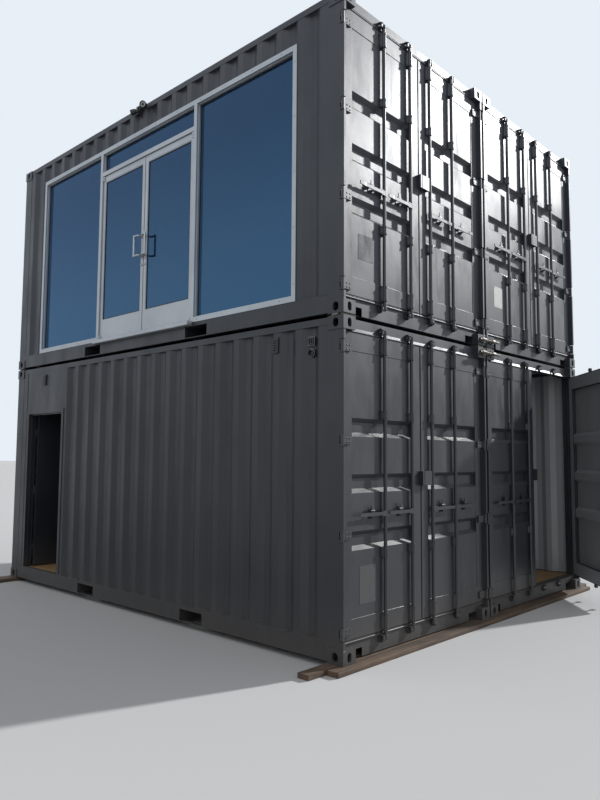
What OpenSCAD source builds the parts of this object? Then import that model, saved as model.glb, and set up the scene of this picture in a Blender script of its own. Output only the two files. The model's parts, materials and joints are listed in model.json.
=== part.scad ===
// Two-storey cabin made of four 20 ft high-cube shipping containers.
// Z is up, X runs along the containers with the cargo doors at +X, and the storefront faces -Y.
// The origin is on the ground under the centre of the overall box, with the rear cargo leaf open.

/* [Container] */
// Outside length of one container
cont_l = 6058; // [5800:1:6200]
// Outside width of one container
cont_w = 2438; // [2400:1:2500]
// Outside height of one container
cont_h = 2896; // [2800:1:2950]
// Gap between containers side by side
side_gap = 26; // [20:1:60]
// Thickness of the stacking plates between the storeys
stack_gap = 20; // [12:1:40]

/* [Corner posts] */
// Length of a corner casting
cast_l = 178; // [170:1:190]
// Width of a corner casting
cast_w = 162; // [150:1:175]
// Height of a corner casting
cast_h = 118; // [110:1:125]
// Wall thickness of a corner casting
cast_t = 22; // [16:1:28]
// Wall thickness of a corner post
post_t = 6; // [4:1:8]
// Width of a blind-end post's box
blind_post = 80; // [70:1:100]
// Width of the door post's outer fold, which runs forward to the casting's end
post_lip = 26; // [22:1:30]

/* [Rails] */
// Height of the bottom side rail
rail_h = 162; // [150:1:170]
// Depth of the bottom side rail and of the end sills
rail_d = 52; // [50:1:60]
// Height of the bottom rail above the casting's underside
rail_lift = 12.5; // [8:0.5:20]
// Size of the square top side rail
top_rail = 60; // [50:1:70]
// Gap from the top rail up to the casting's top
top_drop = 6; // [4:1:10]
// Thickness of the rails
rail_t = 4.5; // [3:0.5:6]
// Depth of the door header and door sill
header_d = 90; // [80:1:110]
// Height of the door header
header_h = 115; // [100:1:140]
// Set-back of the header's and the sill's plate behind the leaf's face
plate_set = 14; // [8:1:20]
// Height of the header's rain gutter
gutter_h = 34; // [20:1:40]

/* [Fork pockets] */
// Width of a fork pocket
pocket_w = 360; // [300:1:380]
// Height of a fork pocket
pocket_h = 115; // [100:1:120]
// Distance between the two pockets' centres
pocket_pitch = 2050; // [1900:10:2200]

/* [Folded sheets] */
// Thickness of the wall sheet
sheet_t = 2; // [1.5:0.5:4]
// Distance from the casting's face to the wall's outer flats
wall_set = 10; // [8:1:14]
// Pitch of the side wall folds
wall_pitch = 278; // [260:1:300]
// Width of the outer flats
wall_out = 72; // [60:1:80]
// Width of the inner flats
wall_in = 70; // [60:1:80]
// Depth of the side and end wall folds
wall_fold = 36; // [30:1:45]
// Pitch of the roof folds
roof_pitch = 209; // [190:1:230]
// Depth of the roof folds
roof_fold = 20; // [14:1:24]

/* [Floor] */
// Thickness of the plywood floor
floor_t = 28; // [24:1:32]
// Height of the floor above the casting's underside
floor_z = 170; // [165:1:175]
// Height of a floor joist
joist_h = 120; // [110:1:121]
// Flange width of a floor joist
joist_b = 45; // [40:1:60]
// Distance between floor joists
joist_pitch = 450; // [300:10:500]

/* [Cargo doors] */
// Set-back of the leaf's face and of the post's face from the casting's end
leaf_set = 50; // [48:1:56]
// Thickness of a cargo leaf
leaf_t = 50; // [45:1:54]
// Gap between a leaf's edge and its post
leaf_gap = 8; // [6:1:12]
// Gap between a leaf and the header or sill
leaf_gap_z = 12; // [8:1:16]
// Gap between the two leaves of a pair
seam_gap = 24; // [18:1:30]
// Width of a leaf's upright members
leaf_stile = 110; // [90:1:118]
// Height of a leaf's top member
leaf_top = 154; // [120:1:170]
// Height of a leaf's bottom member
leaf_bottom = 158; // [120:1:170]
// Height of the leaf's three horizontal folds
fold_h = 160; // [140:1:180]
// Depth of the leaf's horizontal folds
fold_d = 36; // [30:1:40]
// Height of the lowest fold's centre
fold_z = 985; // [900:5:1050]
// Distance between the folds' centres
fold_pitch = 482; // [450:1:500]
// Angle at which the lower rear container's right leaf stands open
open_deg = 42; // [0:1:60]

/* [Hinges] */
// Set-back of the hinge pin from the casting's end
pin_u = 24; // [22:1:26]
// Set-back of the hinge pin from the casting's side
pin_v = 16; // [15:1:17]
// Radius of the hinge pin
pin_r = 7; // [6:0.5:8]
// Radius of the hinge knuckle
knuckle_r = 14; // [12:0.5:14]
// Height of a hinge knuckle
knuckle_h = 70; // [50:1:90]
// Height of the lugs over and under a knuckle
lug_h = 18; // [12:1:25]
// Running clearance at hinge pins and lock rods
run_gap = 0.3; // [0.2:0.1:0.5]

/* [Lock rods] */
// Radius of a lock rod
rod_r = 17; // [14:0.5:18]
// Set-back of a lock rod's centre from the casting's end
rod_u = 28; // [26:1:30]
// Distance from the seam to the inner lock rod
rod_inner = 173; // [160:1:190]
// Distance from the seam to the outer lock rod
rod_outer = 600; // [580:1:620]
// Height of the lock rod handles
handle_z = 1200; // [1170:5:1270]
// Length of a lock rod handle
handle_l = 385; // [350:5:395]
// Height of a handle's bar
lever_h = 30; // [24:1:40]
// Distance from a lock rod to its handle's retainer
retainer_y = 186; // [150:1:220]
// Length of a cam's nose from the rod's centre
cam_l = 52; // [45:1:60]
// Height of a cam
cam_h = 26; // [20:1:30]
// Width of a rod guide's body
guide_w = 68; // [60:1:80]
// Height of the rod guides at a leaf's top and bottom
guide_long = 140; // [90:1:145]
// Height of the rod guides between the folds
guide_short = 80; // [50:1:90]
// Width of the lock box on the right leaf
lock_box_w = 121; // [80:1:125]
// Height of the lock box
lock_box_h = 135; // [100:1:160]
// Height of the lock box's middle
lock_box_z = 1497; // [1400:1:1520]

/* [Storefront] */
// Distance from the door end to the storefront
shop_door_end = 570.5; // [400:0.5:900]
// Distance from the blind end to the storefront
shop_blind_end = 610.5; // [400:0.5:900]
// Height of the wall left above the storefront
shop_over = 225.5; // [120:0.5:400]
// Face width of the aluminium members
tube_w = 51; // [45:1:60]
// Depth of the aluminium members
tube_d = 114; // [100:1:120]
// Width of the double door's opening
shop_door_w = 1829; // [1700:1:1900]
// Height of the light over the double door
shop_light_h = 238; // [150:1:400]
// Thickness of the double glazing
pane_t = 24; // [12:1:28]
// Face width of a door leaf's uprights
stile_w = 62; // [50:1:80]
// Height of a door leaf's top member
shop_top = 85; // [60:1:110]
// Height of a door leaf's kick rail
kick_h = 254; // [200:1:280]
// Thickness of a door leaf
shop_leaf_t = 45; // [40:1:50]
// Height of the pull handles' middle above the leaf's lower edge
pull_z = 1005; // [900:5:1100]
// Length of a pull handle's grip
pull_l = 230; // [180:5:300]
// Height of the push bars above the leaf's lower edge
push_z = 1070; // [950:5:1150]
// Length by which the threshold's ledge stands out from the frame
ledge_out = 64; // [30:1:80]
// Height of the threshold's ledge
ledge_h = 50; // [30:1:60]

/* [Personnel door] */
// Overall width of the door frame
pd_w = 1016; // [950:1:1060]
// Overall height of the door frame
pd_h = 2134; // [2000:1:2160]
// Distance from the blind end to the frame
pd_x = 323; // [300:1:400]
// Face width of the door frame
pd_face = 51; // [45:1:60]
// Depth of the door frame
pd_d = 110; // [100:1:120]
// Thickness of the personnel leaf
pd_leaf_t = 44; // [40:1:46]
// Gap between the personnel leaf and its frame
pd_gap = 7; // [6:1:9]
// Height of the lever handle above the leaf's lower edge
lever_z = 1000; // [900:5:1100]
// Length of the lever handle
lever_l = 120; // [100:5:150]

/* [Wall fittings] */
// Distance from a vent cover's middle up to the top side rail
vent_drop = 115; // [90:1:200]
// Width of a vent cover
vent_w = 68; // [60:1:72]
// Height of a vent cover
vent_h = 150; // [100:1:160]
// Depth of a vent cover
vent_d = 22; // [16:1:30]
// Distance from the upper power inlet up to the top side rail
inlet_drop = 122; // [60:1:200]
// Distance between the two power inlets
inlet_pitch = 104; // [90:1:150]
// Width of a power inlet's flange
inlet_w = 80; // [60:1:90]
// Length of a bridge fitting's threaded rod
bridge_l = 430; // [300:10:460]

/* [Sole boards] */
// Thickness of the timber sole boards
sole_t = 45; // [30:1:60]
// Width of a sole, which is two boards side by side
sole_w = 250; // [200:1:280]
// Length by which the inner boards run out past the long sides
sole_out = 350; // [200:10:400]
// Length by which the outer boards stop short of the inner ones
sole_step = 205; // [0:5:250]
// Length by which the boards run out past the containers' ends
sole_end = 70; // [40:5:100]

/* [Hidden] */
$fn = 32;

paint = "#46484b";
timber = "#8a7a63";
ply = "#9b7f58";
alu = "#c9cccd";
glass = "#3d5568";
zinc = "#8e9294";
black = "#1d1e20";

half_l = cont_l / 2;
half_w = cont_w / 2;
post_open = 46;
post_v = 8;
post_in = post_v + post_open;
post_back = leaf_set + leaf_t + 6;
post_stop = 98;
post_flange = 34;
rail_top = rail_lift + rail_h;
top_z = cont_h - top_drop;
wall_top = top_z - top_rail;
wall_h = wall_top - rail_top;
sill_z = floor_z;
header_z = top_z - header_h;
leaf_z = sill_z + leaf_gap_z;
leaf_h = header_z - leaf_gap_z - leaf_z;
leaf_v = post_in + leaf_gap;
panel_set = 4;
leaf_w = half_w - leaf_v - seam_gap / 2;

level_z = [sole_t, sole_t + cont_h + stack_gap];
row_y = [-(cont_w + side_gap) / 2, (cont_w + side_gap) / 2];

// The lock box on the open leaf is the part's furthest point along +X
lock_box_in = 4;
lock_box_u = 4;
reach = half_w - pin_v - lock_box_in;
x_far = half_l - pin_u + reach * sin(open_deg) + (pin_u - lock_box_u) * cos(open_deg);
x_near = -half_l - sole_end;
stack_x = -(x_far + x_near) / 2;

rod_seam = [-rod_outer, -rod_inner, rod_inner, rod_outer];
rod_bottom = 104;
rod_top = cont_h - 60;
rod_cap = 6;
cam_z = [rod_bottom + rod_cap, rod_top - rod_cap - cam_h];
guide_edge = 10;
long_guide_z = [leaf_z + guide_edge + guide_long / 2, leaf_z + leaf_h - guide_edge - guide_long / 2];
short_guide_z = [
    fold_z - (fold_h + guide_short) / 2 - guide_edge,
    fold_z + 2 * fold_pitch + (fold_h + guide_short) / 2
];
hinge_low = 68;
hinge_top = 133;
hinge_z = [for (i = [0:3]) leaf_z + hinge_low + i * (leaf_h - hinge_low - hinge_top) / 3];
keeper_gap = 6;
pocket_z = rail_lift + 7.5;

// Places a piece drawn in one container's own frame
module at_container(level, row) {
    translate([stack_x, row_y[row], level_z[level]]) children();
}

module each_container(level) {
    for (row = [0, 1]) at_container(level, row) children();
}

// Repeats a piece drawn on the -Y side on the +Y side too
module both_sides() {
    children();
    mirror([0, 1, 0]) children();
}

// Origin at a lower corner, with the first axis inwards from the end and the second from the side
module door_corner() {
    translate([half_l, -half_w, 0]) mirror([1, 0, 0]) children();
}

module blind_corner() {
    translate([-half_l, -half_w, 0]) children();
}

module slot(w, h, d) {
    for (s = [-1, 1]) translate([s * (w - h) / 2, 0, 0]) cylinder(d = h, h = d);
    translate([-(w - h) / 2, -h / 2, 0]) cube([w - h, h, d]);
}

// One face of a folded sheet, from -half to half, starting and ending on an outer flat
function fold_face(half, n, p, fo, fi, d, v) =
    let (s = (p - fo - fi) / 2)
    concat(
        [[-half, v]],
        [for (i = [0:n - 1]) let (x = (i - n / 2) * p)
            each [[x + fo / 2, v], [x + fo / 2 + s, v + d], [x + fo / 2 + s + fi, v + d], [x + p - fo / 2, v]]],
        [[half, v]]
    );

function reversed(a) = [for (i = [len(a) - 1:-1:0]) a[i]];

module folded_sheet(length, p, fo, fi, d, t, h) {
    n = floor((length - fo / 2) / p);
    linear_extrude(h)
        polygon(concat(
            fold_face(length / 2, n, p, fo, fi, d, 0),
            reversed(fold_face(length / 2, n, p, fo, fi, d, t))
        ));
}

end_hole = 51;

module casting() {
    difference() {
        cube([cast_l, cast_w, cast_h]);
        translate([cast_t, cast_t, cast_t]) cube([cast_l, cast_w, cast_h] - [1, 1, 1] * 2 * cast_t);
        translate([cast_l / 2, cast_w / 2, -1]) rotate(90) slot(124 - 30, 63, cast_h + 2);
        translate([cast_l / 2, -1, cast_h / 2]) rotate([-90, 0, 0]) rotate(90) slot(79, 63, cast_t + 2);
        translate([-1, cast_w / 2, cast_h / 2]) rotate([0, 90, 0]) slot(79, end_hole, cast_t + 2);
    }
}

module post_castings() {
    casting();
    translate([0, 0, cont_h - cast_h]) casting();
}

post_front = 4;

module door_post_plan() {
    far = post_back + post_flange;
    difference() {
        union() {
            translate([leaf_set, post_v]) square([post_back - leaf_set + 1, post_open]);
            translate([post_front, post_v]) square([leaf_set - post_front + 1, post_lip]);
            translate([post_back, post_v]) square([post_flange, post_stop - post_v]);
            translate([far - 1, post_v]) square([cast_l - far + 1, post_t]);
        }
        translate([post_front + post_t, post_v + post_t])
            square([leaf_set - post_front - post_t, post_lip - 2 * post_t]);
        translate([leaf_set + post_t, post_v + post_t])
            square([far - leaf_set - 2 * post_t, post_open - 2 * post_t]);
        translate([post_back + post_t, post_v + post_t])
            square([post_flange - 2 * post_t, post_stop - post_v - 2 * post_t]);
    }
}

module blind_post_plan() {
    difference() {
        union() {
            translate([post_v, post_v]) square(blind_post);
            translate([post_v + blind_post - 1, post_v]) square([cast_l - post_v - blind_post + 1, post_t]);
        }
        translate([post_v + post_t, post_v + post_t]) square(blind_post - 2 * post_t);
    }
}

// Two lugs on a post with their fixed pin, on which a leaf's knuckle turns
module hinge_lugs() {
    head = 3;
    low = -knuckle_h / 2 - lug_h;
    high = knuckle_h / 2 + 2 * run_gap;
    translate([pin_u, pin_v, 0]) {
        for (z = [low, high]) {
            translate([0, 0, z]) cylinder(r = knuckle_r, h = lug_h);
            translate([0, -knuckle_r + 2, z]) cube([leaf_set - pin_u + 1, 2 * knuckle_r - 4, lug_h]);
        }
        translate([0, 0, low - head]) cylinder(r = pin_r, h = high + lug_h - low + 2 * head);
        translate([0, 0, high + lug_h]) cylinder(r = pin_r + 3, h = head);
    }
}

module door_post() {
    notch = knuckle_h / 2 + lug_h + 8;
    post_castings();
    difference() {
        translate([0, 0, cast_h - 1]) linear_extrude(cont_h - 2 * cast_h + 2) door_post_plan();
        for (z = hinge_z) translate([-1, -1, z - notch]) cube([leaf_set + 1, post_v + post_lip + 2, 2 * notch]);
    }
    for (z = hinge_z) translate([0, 0, z]) hinge_lugs();
}

module blind_post() {
    post_castings();
    translate([0, 0, cast_h - 1]) linear_extrude(cont_h - 2 * cast_h + 2) blind_post_plan();
}

module posts(level) {
    color(paint) each_container(level) both_sides() {
        door_corner() door_post();
        blind_corner() blind_post();
    }
}

module lower_posts() {
    posts(0);
}

module upper_posts() {
    posts(1);
}

module channel(h, d, t) {
    difference() {
        square([d, h]);
        translate([t, t]) square([d, h - 2 * t]);
    }
}

module bottom_side_rail() {
    difference() {
        translate([-half_l + cast_l, -half_w + post_v, rail_lift])
            rotate([90, 0, 90]) linear_extrude(cont_l - 2 * cast_l) channel(rail_h, rail_d, rail_t);
        for (s = [-1, 1])
            translate([s * pocket_pitch / 2 - pocket_w / 2, -half_w, pocket_z]) cube([pocket_w, 40, pocket_h]);
    }
}

module top_side_rail() {
    translate([-half_l + cast_l, -half_w + post_v, wall_top]) difference() {
        cube([cont_l - 2 * cast_l, top_rail, top_rail]);
        translate([-1, rail_t, rail_t]) cube([cont_l, top_rail - 2 * rail_t, top_rail - 2 * rail_t]);
    }
}

// The room that the corner castings take, with a gap round it where a sheet is cut out
module casting_blocks(gap) {
    for (m = [-1, 1], s = [-1, 1], z = [0, cont_h - cast_h])
        translate([m * (half_l - cast_l / 2), s * (half_w - cast_w / 2), z + cast_h / 2])
            cube([cast_l, cast_w, cast_h] + [2, 2, 2] * gap, center = true);
}

// A back plate and two tapered shelves that a cam's nose turns between, with a rib under each
module keeper() {
    shelf = 6;
    low = -keeper_gap - shelf;
    tall = cam_h + 2 * (keeper_gap + shelf);
    start = rod_r + keeper_gap;
    end = cam_l + 12;
    back = leaf_set + plate_set + 1;
    translate([-back, start, low]) cube([back - leaf_set + 4, end - start, tall]);
    for (z = [low, cam_h + keeper_gap]) translate([0, 0, z]) linear_extrude(shelf)
        polygon([[-back, start], [-14, start], [-10, start + 6], [-18, end - 6], [-leaf_set + 12, end], [-back, end]]);
    translate([-back, start + 10, low - 16]) cube([back - leaf_set + 16, 6, 17]);
    translate([-back, start + 10, low + tall - 1]) cube([back - leaf_set + 16, 6, 17]);
}

module keepers(z) {
    for (y = rod_seam)
        translate([half_l, y, z]) mirror([0, y < 0 ? 1 : 0, 0]) keeper();
}

plate_x = half_l - leaf_set - plate_set;
bead_x = half_l - rod_u - rod_r - 1.5;

// Runs a section, drawn from the end plane with its height second, across the door end
module across(half) {
    translate([0, half, 0]) rotate([90, 0, 0]) linear_extrude(2 * half) children();
}

module door_header() {
    difference() {
        translate([half_l - leaf_set - header_d, -half_w + post_in, header_z])
            cube([header_d - plate_set, cont_w - 2 * post_in, top_z - header_z]);
        translate([half_l - leaf_set - header_d - 1, -half_w, header_z + rail_t])
            cube([header_d - plate_set + 1 - rail_t, cont_w, top_z - header_z - 2 * rail_t]);
        casting_blocks(0);
        door_post_blocks();
    }
    across(half_w - cast_w) polygon([
        [plate_x - 1, header_z], [bead_x, header_z], [bead_x, header_z + 5],
        [plate_x, header_z + gutter_h], [plate_x - 1, header_z + gutter_h]
    ]);
    keepers(cam_z[1]);
}

module door_post_blocks() {
    for (s = [-1, 1])
        translate([half_l - post_back - post_flange, s > 0 ? half_w - post_stop : -half_w + post_v, cast_h])
            cube([post_flange, post_stop - post_v, cont_h - 2 * cast_h]);
}

module door_sill() {
    notch_w = 156;
    notch_h = 75;
    notch_v = 250;
    bead_h = 24;
    round_r = 9;
    difference() {
        translate([half_l - leaf_set - header_d, -half_w + post_in, rail_lift])
            cube([header_d - plate_set, cont_w - 2 * post_in, sill_z - rail_lift]);
        translate([half_l - leaf_set - header_d - 1, -half_w, rail_lift + rail_t])
            cube([header_d - plate_set + 1 - rail_t, cont_w, sill_z - rail_lift - 2 * rail_t]);
        casting_blocks(0);
        door_post_blocks();
        for (s = [-1, 1])
            translate([plate_x - 20, s * (half_w - notch_v) - notch_w / 2, 0]) cube([40, notch_w, notch_h + rail_lift]);
    }
    across(half_w - post_in) union() {
        translate([bead_x - round_r, sill_z - bead_h / 2]) circle(r = round_r);
        translate([plate_x - 1, sill_z - bead_h / 2 - round_r])
            square([bead_x - round_r - plate_x + 1, 2 * round_r]);
    }
    keepers(cam_z[0]);
}

module blind_rails() {
    translate([-half_l + post_v, -half_w + cast_w, wall_top]) difference() {
        cube([top_rail, cont_w - 2 * cast_w, top_rail]);
        translate([rail_t, -1, rail_t]) cube([top_rail - 2 * rail_t, cont_w, top_rail - 2 * rail_t]);
    }
    translate([-half_l + post_v, half_w - cast_w, rail_lift])
        rotate([90, 0, 0]) linear_extrude(cont_w - 2 * cast_w) channel(rail_h, rail_d, rail_t);
}

module rails(level) {
    color(paint) each_container(level) {
        both_sides() {
            bottom_side_rail();
            top_side_rail();
        }
        door_header();
        door_sill();
        blind_rails();
    }
}

module lower_rails() {
    rails(0);
}

module upper_rails() {
    rails(1);
}

floor_x0 = -half_l + post_v + rail_d;
floor_x1 = half_l - leaf_set - header_d;
cut_gap = 1;

// Sheets of plywood, notched round the blind-end posts
module floor_sheet() {
    notch = post_v + blind_post + cut_gap;
    difference() {
        translate([floor_x0, -half_w + post_v + rail_d, floor_z - floor_t])
            cube([floor_x1 - floor_x0, cont_w - 2 * (post_v + rail_d), floor_t]);
        both_sides() translate([-half_l, -half_w, floor_z - floor_t - 1]) cube([notch, notch, floor_t + 2]);
    }
}

module floors() {
    color(ply) for (level = [0, 1]) each_container(level) floor_sheet();
}

joist_y = half_w - post_v - rail_t;

module joist() {
    translate([0, joist_y, floor_z - floor_t - joist_h])
        rotate([90, 0, 0]) linear_extrude(2 * joist_y) channel(joist_h, joist_b, rail_t);
}

module pocket_channel() {
    t = 6;
    translate([-pocket_w / 2 - t, -joist_y, pocket_z]) difference() {
        cube([pocket_w + 2 * t, 2 * joist_y, pocket_h + t]);
        translate([t, -1, -1]) cube([pocket_w, 2 * joist_y + 2, pocket_h + 1]);
    }
}

module floor_joists() {
    clear = pocket_w / 2 + joist_b + 10;
    n = floor((half_l - cast_l - joist_b) / joist_pitch);
    color(paint) for (level = [0, 1]) each_container(level) {
        for (i = [-n:n]) if (abs(abs(i * joist_pitch) - pocket_pitch / 2) > clear)
            translate([i * joist_pitch, 0, 0]) joist();
        for (s = [-1, 1]) translate([s * pocket_pitch / 2, 0, 0]) pocket_channel();
    }
}

module roof_sheet() {
    x0 = -half_l + post_v + top_rail;
    x1 = half_l - leaf_set - header_d;
    v0 = post_v + top_rail;
    translate([(x0 + x1) / 2, half_w - v0, top_z - 2])
        rotate([90, 0, 0]) mirror([0, 1, 0])
            folded_sheet(x1 - x0, roof_pitch, roof_pitch * 0.45, roof_pitch * 0.3, roof_fold, sheet_t, cont_w - 2 * v0);
}

module roofs() {
    color(paint) for (level = [0, 1]) each_container(level) difference() {
        roof_sheet();
        casting_blocks(cut_gap);
    }
}

module side_wall() {
    translate([0, -half_w + wall_set, rail_top])
        folded_sheet(cont_l - 2 * cast_l, wall_pitch, wall_out, wall_in, wall_fold, sheet_t, wall_h);
}

pd_x0 = -half_l + pd_x;

module wall_band(x0, x1, z0, z1) {
    translate([x0, -half_w - 10, z0]) cube([x1 - x0, 100, z1 - z0]);
}

module lower_front_wall() {
    color(paint) at_container(0, 0) difference() {
        side_wall();
        wall_band(pd_x0, pd_x0 + pd_w, 0, cont_h);
    }
}

module door_head_panel() {
    z0 = rail_top + pd_h;
    color(paint) at_container(0, 0)
        translate([pd_x0, -half_w + wall_set, z0]) cube([pd_w, sheet_t, wall_top - z0]);
}

module lower_rear_wall() {
    color(paint) at_container(0, 1) mirror([0, 1, 0]) side_wall();
}

shop_x0 = -half_l + shop_blind_end;
shop_x1 = half_l - shop_door_end;
shop_w = shop_x1 - shop_x0;
shop_x = (shop_x0 + shop_x1) / 2;
shop_z0 = rail_top;
shop_z1 = wall_top - shop_over;
shop_h = shop_z1 - shop_z0;
shop_door_h = shop_h - 2 * tube_w - shop_light_h;

module upper_front_wall() {
    color(paint) at_container(1, 0) difference() {
        side_wall();
        wall_band(shop_x0, shop_x1, 0, cont_h);
    }
}

module storefront_head_wall() {
    color(paint) at_container(1, 0) intersection() {
        side_wall();
        wall_band(shop_x0, shop_x1, shop_z1, cont_h);
    }
}

module upper_rear_wall() {
    color(paint) at_container(1, 1) mirror([0, 1, 0]) side_wall();
}

module party_walls(level) {
    color(paint) {
        at_container(level, 0) mirror([0, 1, 0]) side_wall();
        at_container(level, 1) side_wall();
    }
}

module lower_party_walls() {
    party_walls(0);
}

module upper_party_walls() {
    party_walls(1);
}

module end_wall() {
    width = cont_w - 2 * (post_v + blind_post);
    difference() {
        translate([-half_l + wall_set, 0, rail_top])
            rotate(-90) folded_sheet(width, wall_pitch, wall_out, wall_in, wall_fold, sheet_t, wall_h);
        casting_blocks(cut_gap);
    }
}

module lower_end_walls() {
    color(paint) each_container(0) end_wall();
}

module upper_end_walls() {
    color(paint) each_container(1) end_wall();
}

module sole_boards() {
    long = 2 * cont_w + side_gap + 2 * sole_out;
    split = 6;
    board_w = (sole_w - split) / 2;
    color(timber) for (s = [-1, 1], outer = [0, 1])
        translate([stack_x + s * (half_l + sole_end - board_w / 2 - (1 - outer) * (board_w + split)), 0, sole_t / 2])
            cube([board_w, long - 2 * outer * sole_step, sole_t], center = true);
}

// Storefront, drawn from the opening's lower corner with depth inwards
shop_v = 4;
pane_v = 50;
mullion_x = shop_x + shop_door_w / 2;

module shop_frame_at() {
    translate([0, -half_w + shop_v, 0]) children();
}

module storefront_frame() {
    bar_z = shop_z0 + shop_door_h;
    color(alu) at_container(1, 0) shop_frame_at() {
        difference() {
            translate([shop_x0, 0, shop_z0]) cube([shop_w, tube_d, shop_h]);
            for (s = [-1, 1]) {
                x0 = s < 0 ? shop_x0 + tube_w : mullion_x + tube_w;
                light = (shop_w - shop_door_w) / 2 - 2 * tube_w;
                translate([x0, -1, shop_z0 + tube_w]) cube([light, tube_d + 2, shop_h - 2 * tube_w]);
            }
            translate([shop_x - shop_door_w / 2, -1, shop_z0 - 1]) cube([shop_door_w, tube_d + 2, shop_door_h + 1]);
            translate([shop_x - shop_door_w / 2, -1, bar_z + tube_w])
                cube([shop_door_w, tube_d + 2, shop_h - shop_door_h - 2 * tube_w]);
        }
        for (x0 = [shop_x0 + tube_w, mullion_x + tube_w])
            glazing_stops(x0, shop_z0 + tube_w, (shop_w - shop_door_w) / 2 - 2 * tube_w, shop_h - 2 * tube_w);
        glazing_stops(shop_x - shop_door_w / 2, bar_z + tube_w, shop_door_w, shop_h - shop_door_h - 2 * tube_w);
    }
}

// Snap-in stops round a light, in front of the glass and behind it, with room for the gaskets
module glazing_stops(x0, z0, w, h) {
    stop = 12;
    gasket = 5;
    deep = 20;
    for (v = [pane_v - gasket - deep, pane_v + pane_t + gasket]) translate([x0, v, z0]) difference() {
        translate([-1, 0, -1]) cube([w + 2, deep, h + 2]);
        translate([stop, -1, stop]) cube([w - 2 * stop, deep + 2, h - 2 * stop]);
    }
}

module storefront_glass() {
    light = (shop_w - shop_door_w) / 2 - 2 * tube_w;
    color(glass) at_container(1, 0) shop_frame_at() {
        for (x0 = [shop_x0 + tube_w, mullion_x + tube_w])
            translate([x0, pane_v, shop_z0 + tube_w]) cube([light, pane_t, shop_h - 2 * tube_w]);
        translate([shop_x - shop_door_w / 2, pane_v, shop_z0 + shop_door_h + tube_w])
            cube([shop_door_w, pane_t, shop_h - shop_door_h - 2 * tube_w]);
    }
}

shop_gap = 4;
shop_leaf_w = (shop_door_w - 3 * shop_gap) / 2;
shop_leaf_z = shop_z0 + 14;
shop_leaf_h = shop_door_h - 14 - shop_gap;
shop_leaf_v = 16;

// The left leaf, which the right leaf mirrors, with its offset pivots at the outer corners
module shop_leaf() {
    stop = 10;
    pivot_w = 30;
    pivot_h = 60;
    pivot_out = 12;
    translate([-shop_door_w / 2 + shop_gap, shop_leaf_v, shop_leaf_z]) {
        difference() {
            cube([shop_leaf_w, shop_leaf_t, shop_leaf_h]);
            translate([stile_w, -1, kick_h])
                cube([shop_leaf_w - 2 * stile_w, shop_leaf_t + 2, shop_leaf_h - kick_h - shop_top]);
            translate([stile_w - stop, -1, kick_h - stop])
                cube([shop_leaf_w - 2 * (stile_w - stop), 5, shop_leaf_h - kick_h - shop_top + 2 * stop]);
        }
        translate([30, shop_leaf_t / 2, shop_leaf_h - 1]) cylinder(r = 9, h = shop_gap + 1);
        for (z = [0, shop_leaf_h - pivot_h]) translate([0, -pivot_out, z]) {
            cube([pivot_w, pivot_out + 1, pivot_h]);
            translate([pivot_w / 2, pivot_out / 2, pivot_h / 2]) rotate([90, 0, 0]) cylinder(r = 9, h = pivot_out);
        }
    }
}

module shop_place(side) {
    at_container(1, 0) shop_frame_at() translate([shop_x, 0, 0]) mirror([side, 0, 0]) children();
}

module shop_left_leaf() {
    color(alu) shop_place(0) shop_leaf();
}

module shop_right_leaf() {
    color(alu) shop_place(1) shop_leaf();
}

module shop_leaf_glass() {
    color(glass) for (side = [0, 1]) shop_place(side)
        translate([-shop_door_w / 2 + shop_gap + stile_w, shop_leaf_v + 10, shop_leaf_z + kick_h])
            cube([shop_leaf_w - 2 * stile_w, pane_t, shop_leaf_h - kick_h - shop_top]);
}

// A quarter bend between two bars along the second axis and the first
module bend(bend_r, r) {
    rotate_extrude(angle = 90) translate([bend_r, 0]) circle(r = r);
}

module shop_pull() {
    r = 12;
    bend_r = 26;
    foot_r = 19;
    foot_t = 4;
    top = shop_leaf_z + pull_z + pull_l / 2;
    low = top - pull_l;
    foot_x = -shop_gap / 2 - stile_w / 2;
    grip_x = -108;
    grip_v = shop_leaf_v - 62;
    for (z = [low, top]) {
        translate([foot_x, shop_leaf_v, z]) rotate([90, 0, 0]) {
            cylinder(r = foot_r, h = foot_t);
            cylinder(r = r, h = shop_leaf_v - grip_v - bend_r);
        }
        translate([foot_x - bend_r, grip_v + bend_r, z]) mirror([0, 1, 0]) bend(bend_r, r);
        translate([grip_x, grip_v, z]) rotate([0, 90, 0]) cylinder(r = r, h = foot_x - bend_r - grip_x);
    }
    translate([grip_x, grip_v, low - r]) cylinder(r = r, h = top - low + 2 * r);
}

module shop_pulls() {
    color(alu) for (side = [0, 1]) shop_place(side) shop_pull();
}

module shop_push_bar() {
    r = 12;
    bend_r = 24;
    z = shop_leaf_z + push_z;
    face = shop_leaf_v + shop_leaf_t;
    v = face + 40;
    x0 = -shop_door_w / 2 + shop_gap + stile_w / 2;
    x1 = -shop_gap / 2 - stile_w / 2;
    for (x = [x0, x1]) translate([x, face, z]) rotate([-90, 0, 0]) cylinder(r = r, h = v - face - bend_r);
    translate([x1 - bend_r, v - bend_r, z]) bend(bend_r, r);
    translate([x0 + bend_r, v - bend_r, z]) mirror([1, 0, 0]) bend(bend_r, r);
    translate([x0 + bend_r, v, z]) rotate([0, 90, 0]) cylinder(r = r, h = x1 - x0 - 2 * bend_r);
}

module shop_push_bars() {
    color(alu) for (side = [0, 1]) shop_place(side) shop_push_bar();
}

// Ridges along a flat top from v0 to v1, whose valleys lie a ridge's height under it
function ridged(v0, v1, z, pitch, deep) =
    let (n = floor((v1 - v0) / pitch), start = (v0 + v1 - n * pitch) / 2)
    [for (i = [0:n - 1]) let (v = start + i * pitch)
        each [[v, z - deep], [v + pitch * 0.25, z], [v + pitch * 0.75, z], [v + pitch, z - deep]]];

shop_sill_h = 13.7;

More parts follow.
